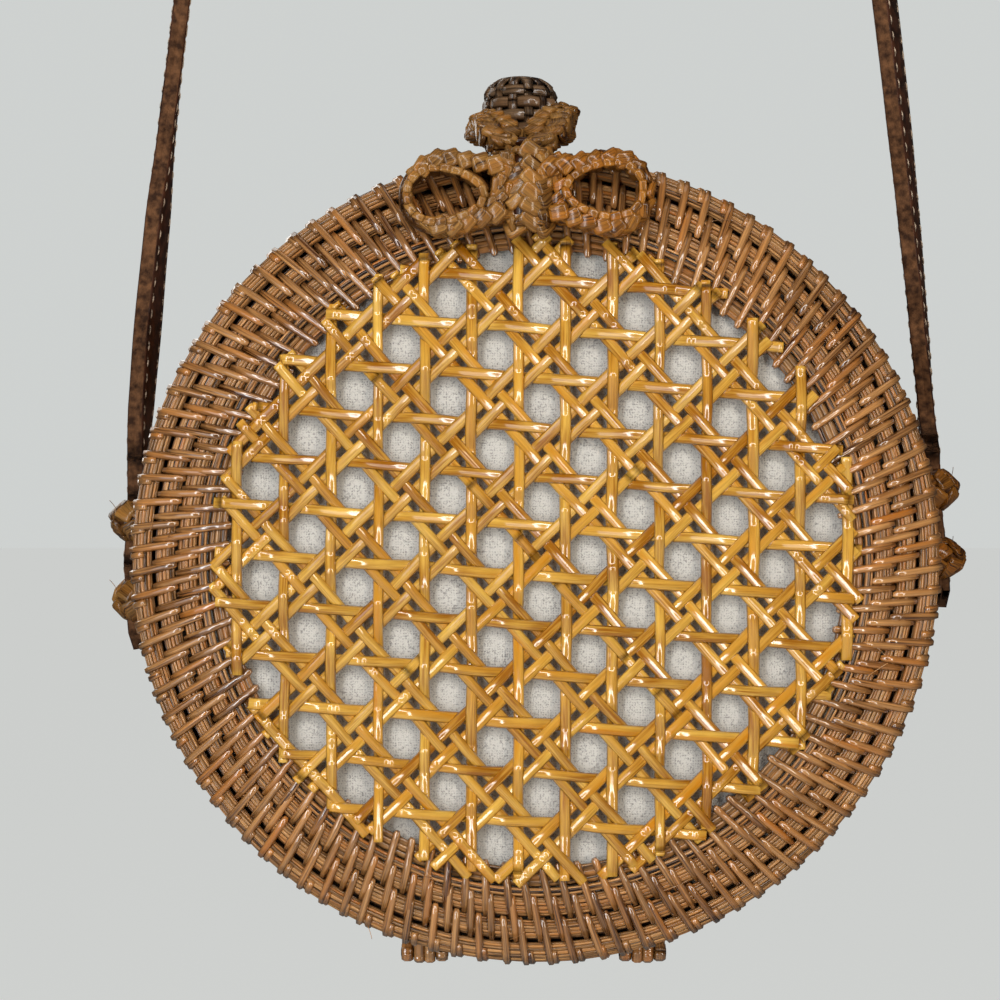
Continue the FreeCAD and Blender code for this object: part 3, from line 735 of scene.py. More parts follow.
# %% Back
BACK_SET_IN = 0.9
BACK_STITCH_STEP, FEWEST_STITCHES = 6.0, 7
BACK_RADII = [OUTER_COIL_R - COIL_PITCH * number for number in range(1, 17)] + [2.3]
back_work = new_work()
for radius in BACK_RADII:
    splint_coil(back_work, radius, COIL_DEPTH - BACK_SET_IN, RIGHT - WRAP_ROOM, LEFT + WRAP_ROOM)
to_the_back(back_work)
coiled_piece(back_work, "back_coils", splint_finish, "back_half", "back_disc")
back_rows = new_work()
first_turn = 0.0
for outer, inner in zip([OUTER_COIL_R] + BACK_RADII, BACK_RADII):
    outer_place = Vector((outer, COIL_DEPTH - (0 if outer == OUTER_COIL_R else BACK_SET_IN)))
    stations = over_two_coils(Vector((inner, COIL_DEPTH - BACK_SET_IN)), outer_place, STITCH_REACH)
    count = max(FEWEST_STITCHES, round(math.pi * (outer + inner) / BACK_STITCH_STEP))
    stitch_row(back_rows, stations, count, first_turn, row_tone)
    first_turn += math.pi / count
to_the_back(back_rows)
coiled_piece(back_rows, "back_stitches", stitch_finish, "back_half")

# %% [markdown]
# ## Cotton cloth
# Behind the webbing and round the inside of both halves lies plain off-white cotton. Its weave is too fine
# to model, so the material draws it: two sets of waves for the threads, a noise for their thick places, and
# a finer one for the small dark specks where the threads leave gaps. The same waves bump the surface.


# %% Cotton finish
def two_tones(tree, value, dark_at, dark, light_at, light):
    """A ramp from a dark to a light colour between two values, as a colour socket."""
    ramp = tree.nodes.new("ShaderNodeValToRGB")
    ramp.color_ramp.elements[0].position = dark_at
    ramp.color_ramp.elements[0].color = (*dark, 1)
    ramp.color_ramp.elements[1].position = light_at
    ramp.color_ramp.elements[1].color = (*light, 1)
    link(tree, value, ramp.inputs["Fac"])
    return ramp.outputs["Color"]


def add_bump(tree, shader, height, distance, strength):
    """Let a height disturb the shader's normal."""
    bump = tree.nodes.new("ShaderNodeBump")
    bump.inputs["Distance"].default_value = distance
    bump.inputs["Strength"].default_value = strength
    link(tree, height, bump.inputs["Height"])
    link(tree, bump.outputs["Normal"], shader.inputs["Normal"])


cotton = bpy.data.materials.new("cotton_lining")
cotton.use_nodes = True
tree = cotton.node_tree
shader = tree.nodes["Principled BSDF"]
shader.inputs["Roughness"].default_value = 0.95
shader.inputs["Sheen Weight"].default_value = 0.15
coordinates = tree.nodes.new("ShaderNodeTexCoord").outputs["Object"]
threads = []
for direction in ("X", "Z"):
    wave = tree.nodes.new("ShaderNodeTexWave")
    wave.bands_direction = direction
    wave.inputs["Scale"].default_value = 500.0
    wave.inputs["Distortion"].default_value = 1.2
    wave.inputs["Detail"].default_value = 1.0
    wave.inputs["Detail Scale"].default_value = 0.6
    link(tree, coordinates, wave.inputs["Vector"])
    threads.append(wave.outputs["Fac"])
weave = math_node(tree, "MAXIMUM", *threads)
slubs = noise_node(tree, coordinates, 900.0, 2.0)
specks = noise_node(tree, coordinates, 2500.0, 1.0)
shade = math_node(tree, "MULTIPLY", weave, 0.14)
for layer, weight in ((slubs, 0.4), (specks, 0.9)):
    shade = math_node(tree, "ADD", shade, math_node(tree, "MULTIPLY", layer, weight))
cloth_colour = two_tones(tree, shade, 0.52, (0.27, 0.255, 0.24), 0.76, (0.57, 0.545, 0.50))
link(tree, cloth_colour, shader.inputs["Base Color"])
add_bump(tree, shader, weave, 0.0001, 0.6)
print("cloth material:", cotton.name)

# %% [markdown]
# ## Discs and bands of cloth
# A disc of cloth is a profile spun once round the axis, then moved by a slow noise so that it isn't quite
# flat. The front disc bulges a little towards the webbing, as a lining does when the bag is full. A band of
# cloth covers the inside of each wall.

# %% Lining
LINING_R, LINING_DEPTH, LINING_THICKNESS = 93.9, 33.8, 0.7
DISC_RINGS, DISC_STEPS, BULGE_R = 12, 72, 76
BAND_R, BAND_DEPTHS = 94.15, [1.3, 8.0, 16.0, 24.0, 32.6]


def lining_disc(name, body, stands_for, back, bulge):
    """A disc of cotton across one half; the bulge brings its middle nearer to what it lines."""
    work = bmesh.new()
    rim = [(LINING_R * share / DISC_RINGS, 0.0) for share in range(DISC_RINGS + 1)]
    profile = rim + [(radius, -LINING_THICKNESS) for radius, _ in reversed(rim)]
    spin_round(work, [(radius, LINING_DEPTH + deep) for radius, deep in profile], False, DISC_STEPS)
    bmesh.ops.remove_doubles(work, verts=work.verts, dist=0.01)
    for point in work.verts:
        middle = max(0.0, 1 - (math.hypot(point.co.x, point.co.z) / BULGE_R) ** 6)
        slack = noise.noise(Vector((point.co.x / 22, point.co.z / 22, 3.0)))
        point.co.y += 0.45 * slack + 0.3 - bulge * middle
    if back:
        to_the_back(work)
    piece = finish_piece(work, name, cotton, body, "cotton", stands_for)


def lining_band(name, body, stands_for, back):
    """A strip of cotton round the inside of one wall."""
    work = new_work()
    section = [(BAND_R, depth) for depth in BAND_DEPTHS]
    section += [(BAND_R - LINING_THICKNESS, depth) for depth in reversed(BAND_DEPTHS)]
    spun_ring(work, section, 0.5, 2.0, 0.15)
    if back:
        to_the_back(work)
    piece = finish_piece(work, name, cotton, body, "cotton", stands_for)


lining_disc("front_cotton_disc", "front_half", "front_lining_disc", False, 1.4)
lining_disc("back_cotton_disc", "back_half", "back_lining_disc", True, 0.0)
lining_band("front_cotton_band", "front_half", "front_lining_band", False)
lining_band("back_cotton_band", "back_half", "back_lining_band", True)

# %% [markdown]
# ## The lines of the webbing
# The front panel is the old six-way pattern: single uprights and levels, and slanting strands in pairs.
# Drawn flat it is only lines, so each family gets a direction, a place it goes through and a step to the
# next strand. On this bag the levels sink a little to the right, and the slants follow from that.

# %% Directions and steps of the webbing
COLUMN, ROW, PAIR_GAP = 11.5, 12.1, 4.1
ROW_TILT = math.radians(-4.2)
OPENING = Vector((-10.0, 26.8))
PANEL_R = 76.5
STEPS_EACH_WAY = 16
row_drift = COLUMN * math.tan(ROW_TILT)
falling_step = Vector((COLUMN, row_drift - ROW))
rising_step = Vector((-COLUMN, -row_drift - ROW))
SINGLE, PAIRED = (0,), (-0.5, 0.5)
WEBBING = {
    "upright": (Vector((0, 1)), OPENING + Vector((COLUMN / 2, 0)), Vector((COLUMN, 0)), SINGLE),
    "level": (way_at(ROW_TILT), OPENING + Vector((0, ROW / 2)), Vector((0, ROW)), SINGLE),
    "falling": (falling_step.normalized(), OPENING + rising_step / 2, rising_step, PAIRED),
    "rising": (-rising_step.normalized(), OPENING + falling_step / 2, falling_step, PAIRED),
}


def strands_of(family):
    """All strands of a family inside the panel: (number, direction, normal, distance from the centre)."""
    way, through, step, halves = WEBBING[family]
    normal = Vector((-way.y, way.x))
    found = []
    for count in range(-STEPS_EACH_WAY, STEPS_EACH_WAY + 1):
        for order, half in enumerate(halves):
            distance = (through + step * count).dot(normal) + half * PAIR_GAP
            if abs(distance) < PANEL_R:
                found.append((count * len(halves) + order, way, normal, distance))
    return found


every_strand = {family: strands_of(family) for family in WEBBING}
print("strands:", {family: len(strands) for family, strands in every_strand.items()})

# %% [markdown]
# ## Over and under
# What makes it cane is who passes over whom. Uprights ride over the rising pairs and dive under the falling
# ones, levels do the opposite, and the two slanting sets are woven plain. So every crossing has a height for
# each of its two strands, and a strand eases from one height to the next on half a cosine wave, which has
# no kink where it begins or ends.

# %% Heights
HIGH, LOW, PLAIN = 0.72, 0.1, 0.34
OVER = {("upright", "rising"): (HIGH, -LOW), ("upright", "falling"): (-HIGH, LOW),
        ("level", "falling"): (HIGH, -LOW), ("level", "rising"): (-HIGH, LOW)}


def height_at(family, number, other, other_number):
    """Height of a strand where it meets another."""
    if (family, other) in OVER:
        return OVER[family, other][0]
    if (other, family) in OVER:
        return OVER[other, family][1]
    even = (number + other_number) % 2 == 0
    if family in ("upright", "level"):
        return HIGH if even == (family == "level") else -HIGH
    return PLAIN if even == (family == "rising") else -PLAIN


def ease(marks, place):
    """Smooth height at a place along a strand, from sorted (place, height) marks."""
    before = marks[0]
    for mark in marks:
        if mark[0] >= place:
            span = mark[0] - before[0]
            if span < 1e-6:
                return mark[1]
            share = 0.5 - 0.5 * math.cos(math.pi * (place - before[0]) / span)
            return before[1] + (mark[1] - before[1]) * share
        before = mark
    return marks[-1][1]


print("halfway from low to high:", round(ease([(0, -HIGH), (1, HIGH)], 0.5), 3))

# %% [markdown]
# ## Weaving the strands
# Each strand finds its crossings, sorts them along its length and is laid through their heights. It also
# slips sideways a little, rolls a little and changes tone slowly on its way, and its two cut ends are pale.
# Longer strands get strips with more segments, so that every crossing keeps enough of them.

# %% Weave the panel
CANE_WIDTH, CANE_THICKNESS, CANE_DEPTH = 2.72, 0.6, 38.5
CANE_SINK = 0.25
STRAND_END_R, LAST_CROSSING_R = (78.2, 80.3), 79
SEGMENT_LENGTH = 1.45
FRESH_CUT, CUT_LENGTH = 0.95, 0.01
cane_strips = {segments: straight_strip(segments, 8, 1.0, 0.2) for segments in (36, 60, 84, 108)}


def weave_strand(work, family, strand, crossing):
    """Lay one strand through the heights of all its crossings."""
    number, way, normal, distance = strand
    ends = [math.sqrt(draw.uniform(*STRAND_END_R) ** 2 - distance ** 2) for _ in range(2)]
    first, length = -ends[0], ends[0] + ends[1]
    marks = []
    for other, other_number, other_normal, other_distance in crossing:
        slope = way.dot(other_normal)
        place = (other_distance - distance * normal.dot(other_normal)) / slope
        if (way * place + normal * distance).length < LAST_CROSSING_R:
            marks.append((place, height_at(family, number, other, other_number)))
    marks = [(first, 0.0)] + sorted(marks) + [(first + length, 0.0)]
    seed = draw.uniform(0, SEEDS)
    width = CANE_WIDTH * draw.uniform(0.9, 1.08)
    tone = min(0.9, max(0.15, draw.gauss(0.5, 0.17)))

    def bend(along, across, up):
        place = first + along * length
        slip = 0.5 * noise.noise(Vector((place / 19, seed, 0)))
        roll = 0.16 * noise.noise(Vector((place / 9, seed, 7)))
        flat = way * place + normal * (distance + slip + across * width / 2)
        height = (ease(marks, place - 1) + 2 * ease(marks, place) + ease(marks, place + 1)) / 4
        height += up * CANE_THICKNESS - CANE_SINK + across * roll
        return Vector((flat.x, -(CANE_DEPTH + height), flat.y))

    fitting = min(cane_strips, key=lambda segments: abs(segments - length / SEGMENT_LENGTH))
    points = lay(work, cane_strips[fitting], length, width, tone, seed, bend)
    tone_layer = work.verts.layers.float["tone"]
    grain_layer = work.verts.layers.float_vector["grain"]
    for point in points:
        gone = point[grain_layer].x / ALONG_GRAIN
        point[tone_layer] += 0.45 * noise.noise(Vector((gone / 8, seed, 3)))
        if not CUT_LENGTH < gone < length - CUT_LENGTH:
            point[tone_layer] = FRESH_CUT


NODE_OF = {"upright": "cane_uprights", "level": "cane_levels",
           "falling": "cane_falling_pairs", "rising": "cane_rising_pairs"}
for family, strands in every_strand.items():
    crossing = [(other, number, normal, distance)
                for other, rest in every_strand.items() if other != family
                for number, _, normal, distance in rest]
    cane_work = new_work()
    for strand in strands:
        weave_strand(cane_work, family, strand, crossing)
    finish_piece(cane_work, "cane_" + family + "_strands", cane_finish, "front_half", "cane",
                 NODE_OF[family])

# %% [markdown]
# ## Pillows for plaits
# The bow, the loop and the strap's keepers are plaited from flat leaf strips. From outside a plait is rows
# of small pillows, each the short visible stretch of a strip before it dives under the next. A whole strip
# could be followed through the plait, but at this size only the pillows are seen. So a rounded block stands
# for that stretch, laid at a chosen slant over a core painted dark as shade between the pillows.

# %% Leaf finishes and pillows
plait_finish = rattan_finish(
    "plaited_leaf", (0.026, 0.006, 0.001), (0.41, 0.20, 0.050), (0.30, 0.095, 0.005), 0.2, 0.9)
tan_finish = rattan_finish(
    "tanned_leaf", (0.03, 0.007, 0.001), (0.44, 0.175, 0.024), (0.35, 0.098, 0.004), 0.25, 0.9)
dark_finish = rattan_finish(
    "dark_leaf", (0.010, 0.003, 0.001), (0.23, 0.135, 0.070), (0.13, 0.048, 0.012), 0.3, 0.8)
SQUARENESS = 7


def rounded_block():
    """A block of half-size 1 with soft edges, lower at both ends, where the strip dives."""
    work = new_work()
    bmesh.ops.create_cube(work, size=2.0)
    bmesh.ops.subdivide_edges(work, edges=work.edges, cuts=2, use_grid_fill=True)
    for point in work.verts:
        x, y, z = (value if abs(value) > 0.9 else value * 1.9 for value in point.co)
        size = (abs(x) ** SQUARENESS + abs(y) ** SQUARENESS + abs(z) ** SQUARENESS) ** (1 / SQUARENESS)
        point.co = (x / size, y / size, z / size * (1 - 0.25 * x * x - 0.1 * y * y))
    return as_mesh(work, "pillow")


pillow = rounded_block()
bar = straight_strip(72, 8, 1.0, 1.0)


def lay_pillow(work, place, along, across, size, slant, tone, tilt=0.0):
    """Lay one pillow: its two directions on the surface, its (length, width, height), its slant in degrees.

    The tilt, also in degrees, lifts its leading end over the next pillow, like a shingle."""
    slant = math.radians(slant + draw.gauss(0, 4))
    tilt = math.radians(tilt + draw.gauss(0, 3))
    warp = draw.gauss(0, 0.12)
    long_way = (along * math.cos(slant) + across * math.sin(slant)).normalized()
    wide_way = (across * math.cos(slant) - along * math.sin(slant)).normalized()
    flat_out = along.cross(across).normalized()
    out = flat_out * math.cos(tilt) - long_way * math.sin(tilt)
    long_way = long_way * math.cos(tilt) + flat_out * math.sin(tilt)
    length, width, height = (value * draw.uniform(0.92, 1.08) / 2 for value in size)

    def bend(x, y, z):
        return place + long_way * x * length + wide_way * y * width + out * (z + warp * x * y) * height

    tone = min(0.98, max(0.02, tone + draw.gauss(0, 0.13)))
    lay(work, pillow, length, width * 2, tone, draw.uniform(0, SEEDS), bend)


print("a pillow has", len(pillow.polygons), "faces")

# %% [markdown]
# ## Outlines to plait along
# Rows of pillows follow outlines: one runs round two circles like a belt round two wheels, the other is an
# oval with a slimmer end. Both are lists of points, and a place along such a list is found by walking it.
# A curve object could do the same, but a list can be measured and divided right here.

# %% Outlines
ARC_STEPS, OVAL_STEPS = 24, 48


def round_two(one, one_r, other, other_r):
    """Closed outline round two circles, as a list of flat points."""
    way = other - one
    turn = math.acos((one_r - other_r) / way.length)
    base = math.atan2(way.y, way.x)
    arcs = ((one, one_r, base + turn, base + 2 * math.pi - turn),
            (other, other_r, base - turn, base + turn))
    points = []
    for centre, radius, first, last in arcs:
        for step in range(ARC_STEPS + 1):
            points.append(centre + way_at(first + (last - first) * step / ARC_STEPS) * radius)
    return points + points[:1]


def oval_path(centre, half_long, half_tall, taper=0.0):
    """Closed oval outline, as a list of flat points; the taper makes its right end slimmer."""
    points = []
    for step in range(OVAL_STEPS + 1):
        turn = 2 * math.pi * step / OVAL_STEPS
        tall = half_tall * math.sin(turn) * (1 - taper * math.cos(turn))
        points.append(centre + Vector((half_long * math.cos(turn), tall)))
    return points


def path_length(points):
    return sum((after - before).length for before, after in zip(points, points[1:]))


def on_path(points, distance):
    """Place and direction at a distance along a line of points."""
    for before, after in zip(points, points[1:]):
        span = (after - before).length
        if distance <= span and span > 0:
            return before + (after - before) * (distance / span), (after - before) / span
        distance -= span
    return points[-1].copy(), (points[-1] - points[-2]).normalized()


def stations_on(points, spacing, shift):
    """Evenly spaced (place, direction) pairs along a line of points."""
    total = path_length(points)
    count = max(1, round(total / spacing))
    return [on_path(points, total * (number + shift) / count % total) for number in range(count)]


print("round a circle of radius 1:", round(path_length(oval_path(Vector((0, 0)), 1, 1)), 3))

# %% [markdown]
# ## The bow's two loops
# Each loop is a short plaited tube, folded and gathered at the knot. A bar painted dark as shade runs inside
# it. Two rows of pillows lie round its outside and one on its front, a narrow binding edges its opening, and
# a row painted darker, as painted shade, lines the inside. Where the loop is pulled into the knot, pillows
# lie crosswise in a heap, so these are strewn at random; they and the gather behind them are painted darker,
# as painted shade.

# %% Bow loops
KNOT_X, BOW_Z = -1.8, 90.0
KNOT_ROOM = 4.6
FACING = Vector((0, -1, 0))
SIDEWAYS, UPWARDS = Vector((1, 0, 0)), Vector((0, 0, 1))
HEAP = 14


def flat_to_bag(flat, y):
    return Vector((flat.x, y, flat.y))


def bow_row(work, points, y, spacing, shift, size, tone, facing_front, slant=0, hole=None):
    """A row of pillows round a loop, on its front or on its outside, leaving the hole free."""
    for place, way in stations_on(points, spacing, shift):
        if abs(place.x - KNOT_X) < KNOT_ROOM:
            continue
        if hole:
            centre, half_long, half_tall = hole
            if ((place.x - centre.x) / half_long) ** 2 + ((place.y - centre.y) / half_tall) ** 2 < 1.3:
                continue
        along = flat_to_bag(way, 0)
        across = FACING.cross(along) if facing_front else FACING
        lay_pillow(work, flat_to_bag(place, y), along, across, size, slant, tone, 12)


def bow_loop(name, side, middle, tone, finish):
    """One loop: folded pillows outside, a binding round its opening, and the gathers at the knot."""
    big = Vector((KNOT_X + side * 20.0, 88.6))
    tip = Vector((KNOT_X, BOW_Z))
    taper = -0.22 * side
    work = new_work()
    core_path = oval_path(middle, 10.2, 7.7, taper)
    total = path_length(core_path)

    def core(along, across, up):
        place, way = on_path(core_path, along * total)
        return flat_to_bag(place + Vector((way.y, -way.x)) * across * 1.3, -44.1 + up * 3.8)

    # The bar has tone 0, the darkest colour of the leaf: painted shade in the gaps between the pillows.
    lay(work, bar, total, 3.4, 0.0, 1.0, core)
    outside, front = round_two(big, 9.4, tip, 5.0), round_two(big, 8.3, tip, 4.0)
    opening, inside = oval_path(middle, 9.3, 6.4, taper), oval_path(middle, 8.8, 5.9, taper)
    for y, shift, slant in ((-42.2, 0.0, 24), (-46.2, 0.5, -24)):
        bow_row(work, outside, y, 4.0, shift, (4.6, 4.6, 2.2), tone, False, slant)
    bow_row(work, front, -47.9, 3.7, 0.0, (4.5, 4.2, 2.8), tone, True, 30, (middle, 9.3, 6.4))
    bow_row(work, opening, -48.6, 2.75, 0.3, (3.1, 2.0, 1.9), tone + 0.12, True)
    # The inside row is a little darker than the rest: painted shade inside the loop.
    bow_row(work, inside, -44.2, 4.6, 0.2, (5.0, 7.6, 0.9), tone - 0.15, False)
    # The gather has tone 0 and the heap is a little darker than the loop: painted shade where the loop is
    # pulled into the knot.
    gather = Vector((KNOT_X + side * 6.6, -43.9, BOW_Z))
    lay_pillow(work, gather, SIDEWAYS, UPWARDS, (6.4, 12.0, 6.6), 0, 0.0)
    for number in range(HEAP):
        x, y = KNOT_X + side * draw.uniform(5.6, 9.6), draw.uniform(-47.6, -46.6)
        place = Vector((x, y, BOW_Z - 7.0 + 1.05 * number))
        along = Vector((math.cos(draw.uniform(-1.2, 1.2)), 0, 1)).normalized()
        slant = draw.uniform(-50, 50)
        lay_pillow(work, place, along, FACING.cross(along), (3.8, 2.7, 2.4), slant, tone - 0.1, 16)
    stands_for = "bow_left_loop" if side < 0 else "bow_right_loop"
    finish_piece(work, name, finish, "front_half", "plaited_rattan", stands_for)


bow_loop("bow_left_plait", -1, Vector((-22.0, 87.9)), 0.5, plait_finish)
bow_loop("bow_right_plait", 1, Vector((16.4, 89.2)), 0.45, tan_finish)

# %% [markdown]
# ## The knot
# The knot is a strip wound over the middle of the bow. A bevelled block is its core, left at the darkest
# tone as painted shade between the pillows. On the front, three columns of pillows slant against one
# another, the middle one a little higher, and fall away towards the edges. Flatter pillows close the sides
# and both ends.

# %% Knot
knot_core = new_work()
bmesh.ops.create_cube(knot_core, size=1.0)
bmesh.ops.scale(knot_core, vec=(8.4, 8.0, 17.0), verts=knot_core.verts)
bmesh.ops.translate(knot_core, vec=(KNOT_X, -44.4, BOW_Z), verts=knot_core.verts)
bmesh.ops.bevel(knot_core, geom=list(knot_core.edges), offset=2.0, offset_type="OFFSET", segments=2,
                profile=0.5, affect="EDGES", material=-1)
knot_work = new_work()
# The core keeps tone 0, the darkest colour of the leaf: painted shade in the gaps between the pillows.
join_into(knot_work, knot_core)
for column in (-1, 0, 1):
    for row in range(6):
        z = BOW_Z + 7.6 - 3.3 * row + (0.8 if column == 0 else -0.6)
        fall = 1.9 * ((z - BOW_Z) / 9) ** 2 + 1.5 * abs(column)
        along = Vector((0.94, 0.5 * column, 0)).normalized()
        size = (draw.uniform(5.2, 5.9), draw.uniform(3.9, 4.4), 2.8)
        slant = draw.uniform(30, 40) * (1 if column else -1)
        place = Vector((KNOT_X + 0.4 + column * 3.5, -49.0 + fall, z))
        tone = 0.5 + 0.08 * draw.uniform(-1, 1)
        lay_pillow(knot_work, place, along, UPWARDS, size, slant, tone, -14)
for side in (-1, 1):
    for row in range(5):
        along = Vector((side * 0.2, 1, 0)).normalized()
        place = Vector((KNOT_X + side * 4.7, -44.2, BOW_Z + 7.6 - 3.7 * row))
        lay_pillow(knot_work, place, along, UPWARDS * side, (8.0, 4.4, 2.2), side * 24, 0.42 - side * 0.1)
    for end in (-1, 1):
        place = Vector((KNOT_X + side * 2.3, -44.6, BOW_Z + end * 8.7))
        lay_pillow(knot_work, place, SIDEWAYS, FACING * end, (5.2, 7.6, 2.2), side * end * 20, 0.4)
finish_piece(knot_work, "bow_knot_plait", plait_finish, "front_half", "plaited_rattan", "bow_knot")

# %% [markdown]
# ## The line of the closing loop
# The loop starts behind the knot, where it can turn, climbs steeply, and runs round the knob nearly level.
# Its two legs spread like two leaves while they climb, and the right one stands a little higher. A flat
# outline round two circles is drawn first, seen from above, and then lifted and spread.

# %% Line of the closing loop
KNOB_X, KNOB_Y = -3.4, 6.0
FLIP_Y, FLIP_Z = -37.3, 102.5
CREST_Y, CREST_REACH = -22.0, 12
LOOP_STEPS = 140


def near_crest(y):
    return math.exp(-((y - CREST_Y) / CREST_REACH) ** 2)


def climbed(y):
    """How far up the steep part a place is, from 0 to 1: evenly, and quick at first."""
    share = min(1.0, max(0.0, (y - FLIP_Y) / (CREST_Y - FLIP_Y)))
    return share, 1 - (1 - share) ** 2


def loop_place(flat):
    """A place on the loop's middle line."""
    climb, eased = climbed(flat.y)
    past = min(1.0, max(0.0, (flat.y - CREST_Y) / 18))
    height = 101.3 + 8.6 * eased + 1.4 * past
    spread = 0.72 + 0.5 * climb - 0.22 * past
    on_right = flat.x > KNOB_X
    x = KNOB_X + (flat.x - KNOB_X) * spread + on_right * 1.6 * near_crest(flat.y)
    return Vector((x, flat.y, height + on_right * 1.8 * near_crest(flat.y)))


outline = round_two(Vector((KNOB_X, 7.0)), 11.9, Vector((KNOB_X, FLIP_Y)), 6.2)
open_outline = [outline[2 * ARC_STEPS + 1]] + outline[:ARC_STEPS + 2]
flat_total = path_length(open_outline)
loop_path = []
for step in range(LOOP_STEPS + 1):
    flat, _ = on_path(open_outline, flat_total * step / LOOP_STEPS)
    loop_path.append(loop_place(flat))
loop_total = path_length(loop_path)


def loop_frame(distance):
    """Place, width, and the ways along, outwards and up on the loop, whose leaves bank outwards."""
    place, way = on_path(loop_path, distance)
    side = Vector((way.y, -way.x, 0)).normalized()
    up = side.cross(way).normalized()
    bank = math.radians(20) * near_crest(place.y)
    outwards = side * math.cos(bank) - up * math.sin(bank)
    _, eased = climbed(place.y)
    leaf = math.sin(math.pi * (0.1 + 0.85 * eased))
    return place, 3.0 + 6.4 * leaf, way, outwards, up * math.cos(bank) + side * math.sin(bank)


print("closing loop in millimetres:", round(loop_total))

# %% [markdown]
# ## Plaiting the closing loop
# A bar painted dark, as painted shade in the gaps, runs along the whole line, and six rows of pillows cover
# it: two on top, one on each edge and two below. They slant to opposite sides on the two legs. Short pieces
# of leaf wrap the pin that the loop turns on.

# %% Plait of the closing loop
# Each row: where it lies across the band and above it, the face it looks to, its spacing, pillow and slant.
LOOP_ROWS = [(-0.28, 1.4, "up", 3.0, (3.7, 0.50, 2.5), -16),
             (0.22, 1.3, "up", 3.2, (4.0, 0.62, 2.4), 28),
             (0.5, 0.0, "out", 3.4, (3.8, 0.40, 1.8), 20),
             (-0.5, 0.0, "in", 3.4, (3.8, 0.40, 1.8), 20),
             (-0.24, -1.3, "down", 4.4, (4.8, 0.52, 1.9), 0),
             (0.24, -1.3, "down", 4.4, (4.8, 0.52, 1.9), 20)]
PIN_TURNS = 6
loop_work = new_work()


def loop_core(along, across, up):
    place, width, _, outwards, upwards = loop_frame(along * loop_total)
    return place + outwards * across * (width / 2 - 0.3) + upwards * up * 1.4


# The bar has tone 0, the darkest colour of the leaf: painted shade between the pillows.
lay(loop_work, bar, loop_total, 5.0, 0.0, 3.0, loop_core)
for sideways, upwards_by, face, spacing, (long, wide, thick), slant in LOOP_ROWS:
    count = round(loop_total / spacing)
    for number in range(count):
        place, width, way, outwards, upwards = loop_frame(loop_total * (number + 0.5) / count)
        across = {"up": -outwards, "out": upwards, "in": -upwards, "down": outwards}[face]
        leg = 1 if place.x > KNOB_X else -1
        place = place + outwards * sideways * width + upwards * upwards_by
        size = (long, wide * width, thick)
        lay_pillow(loop_work, place, way, across, size, leg * slant, 0.42 - 0.06 * leg, -leg * 10)
for column in (-1, 1):
    centre = Vector((KNOB_X + column * 5.0, FLIP_Y, FLIP_Z))
    for number in range(PIN_TURNS):
        angle = 2 * math.pi * (number + column * 0.25) / PIN_TURNS
        out = Vector((0, math.cos(angle), math.sin(angle)))
        across = out.cross(SIDEWAYS)
        lay_pillow(loop_work, centre + out * 1.3, SIDEWAYS, across, (5.2, 2.2, 1.5), column * 12, 0.35)
pin_place = Matrix.Translation((KNOB_X, FLIP_Y, FLIP_Z)) @ Matrix.Rotation(math.radians(90), 4, "Y")
bmesh.ops.create_cone(loop_work, cap_ends=True, segments=12, radius1=1.1, radius2=1.1, depth=9.0,
                      matrix=pin_place)
finish_piece(loop_work, "closing_loop_plait", plait_finish, "closure", "plaited_rattan", "closing_loop")

# %% [markdown]
# ## The knob's uprights
# The knob is a small basket. Dark uprights stand round a core and curl in over the top. The core is the
# knob's profile, a little slimmer, spun and closed, and left at the darkest tone as painted shade inside the
# weave. Each upright runs up the profile and moves in and out on the way, once for every band that will run
# round it: both follow one checkerboard.

# %% Core and uprights
KNOB_UPRIGHTS = 14
BAND_HEIGHTS = [104.4, 107.9, 111.4, 114.9, 118.4, 121.6]
KNOB_PROFILE = [(7.0, 102.8), (8.4, 106.0), (9.0, 110.0), (9.25, 114.5), (9.3, 118.5),
                (9.0, 121.2), (7.9, 123.4), (5.6, 124.8), (2.6, 125.4), (0.6, 125.6)]
KNOB_CORE_SET_IN, CURL_Z, WEAVE = 1.1, 123, 0.42
knob_path = [Vector(point) for point in KNOB_PROFILE]
knob_length = path_length(knob_path)
knob_strip = straight_strip(40, 6, 1.0, 0.3)


def knob_place(radius, turn, z):
    """A place round the knob's axis."""
    return Vector((KNOB_X + radius * math.cos(turn), KNOB_Y + radius * math.sin(turn), z))


def checker(number, z):
    """In or out: +1 where an upright lies outside the band at this height."""
    row = (z - BAND_HEIGHTS[0]) / (BAND_HEIGHTS[1] - BAND_HEIGHTS[0])
    return math.cos(math.pi * (row + number))


def knob_upright(work, number):
    """One upright, wider on the shoulder and narrow at the top."""
    turn = 2 * math.pi * number / KNOB_UPRIGHTS
    out = Vector((math.cos(turn), math.sin(turn), 0))
    side = Vector((-out.y, out.x, 0))

    def bend(along, across, up):
        place, way = on_path(knob_path, along * knob_length)
        normal = Vector((way.y, -way.x))
        lift = (WEAVE * checker(number, place.y) if place.y < CURL_Z else 0.3) + up * 0.5
        place = place + normal * lift
        width = 1.25 * min(1.0, 0.3 + place.x / 5) + 0.5 * max(0.0, 1 - abs(place.x - 6.0) / 3)
        return Vector((KNOB_X, KNOB_Y, place.y)) + out * place.x + side * across * width

    lay(work, knob_strip, knob_length, 2.3, draw.gauss(0.28, 0.12), draw.uniform(0, SEEDS), bend)


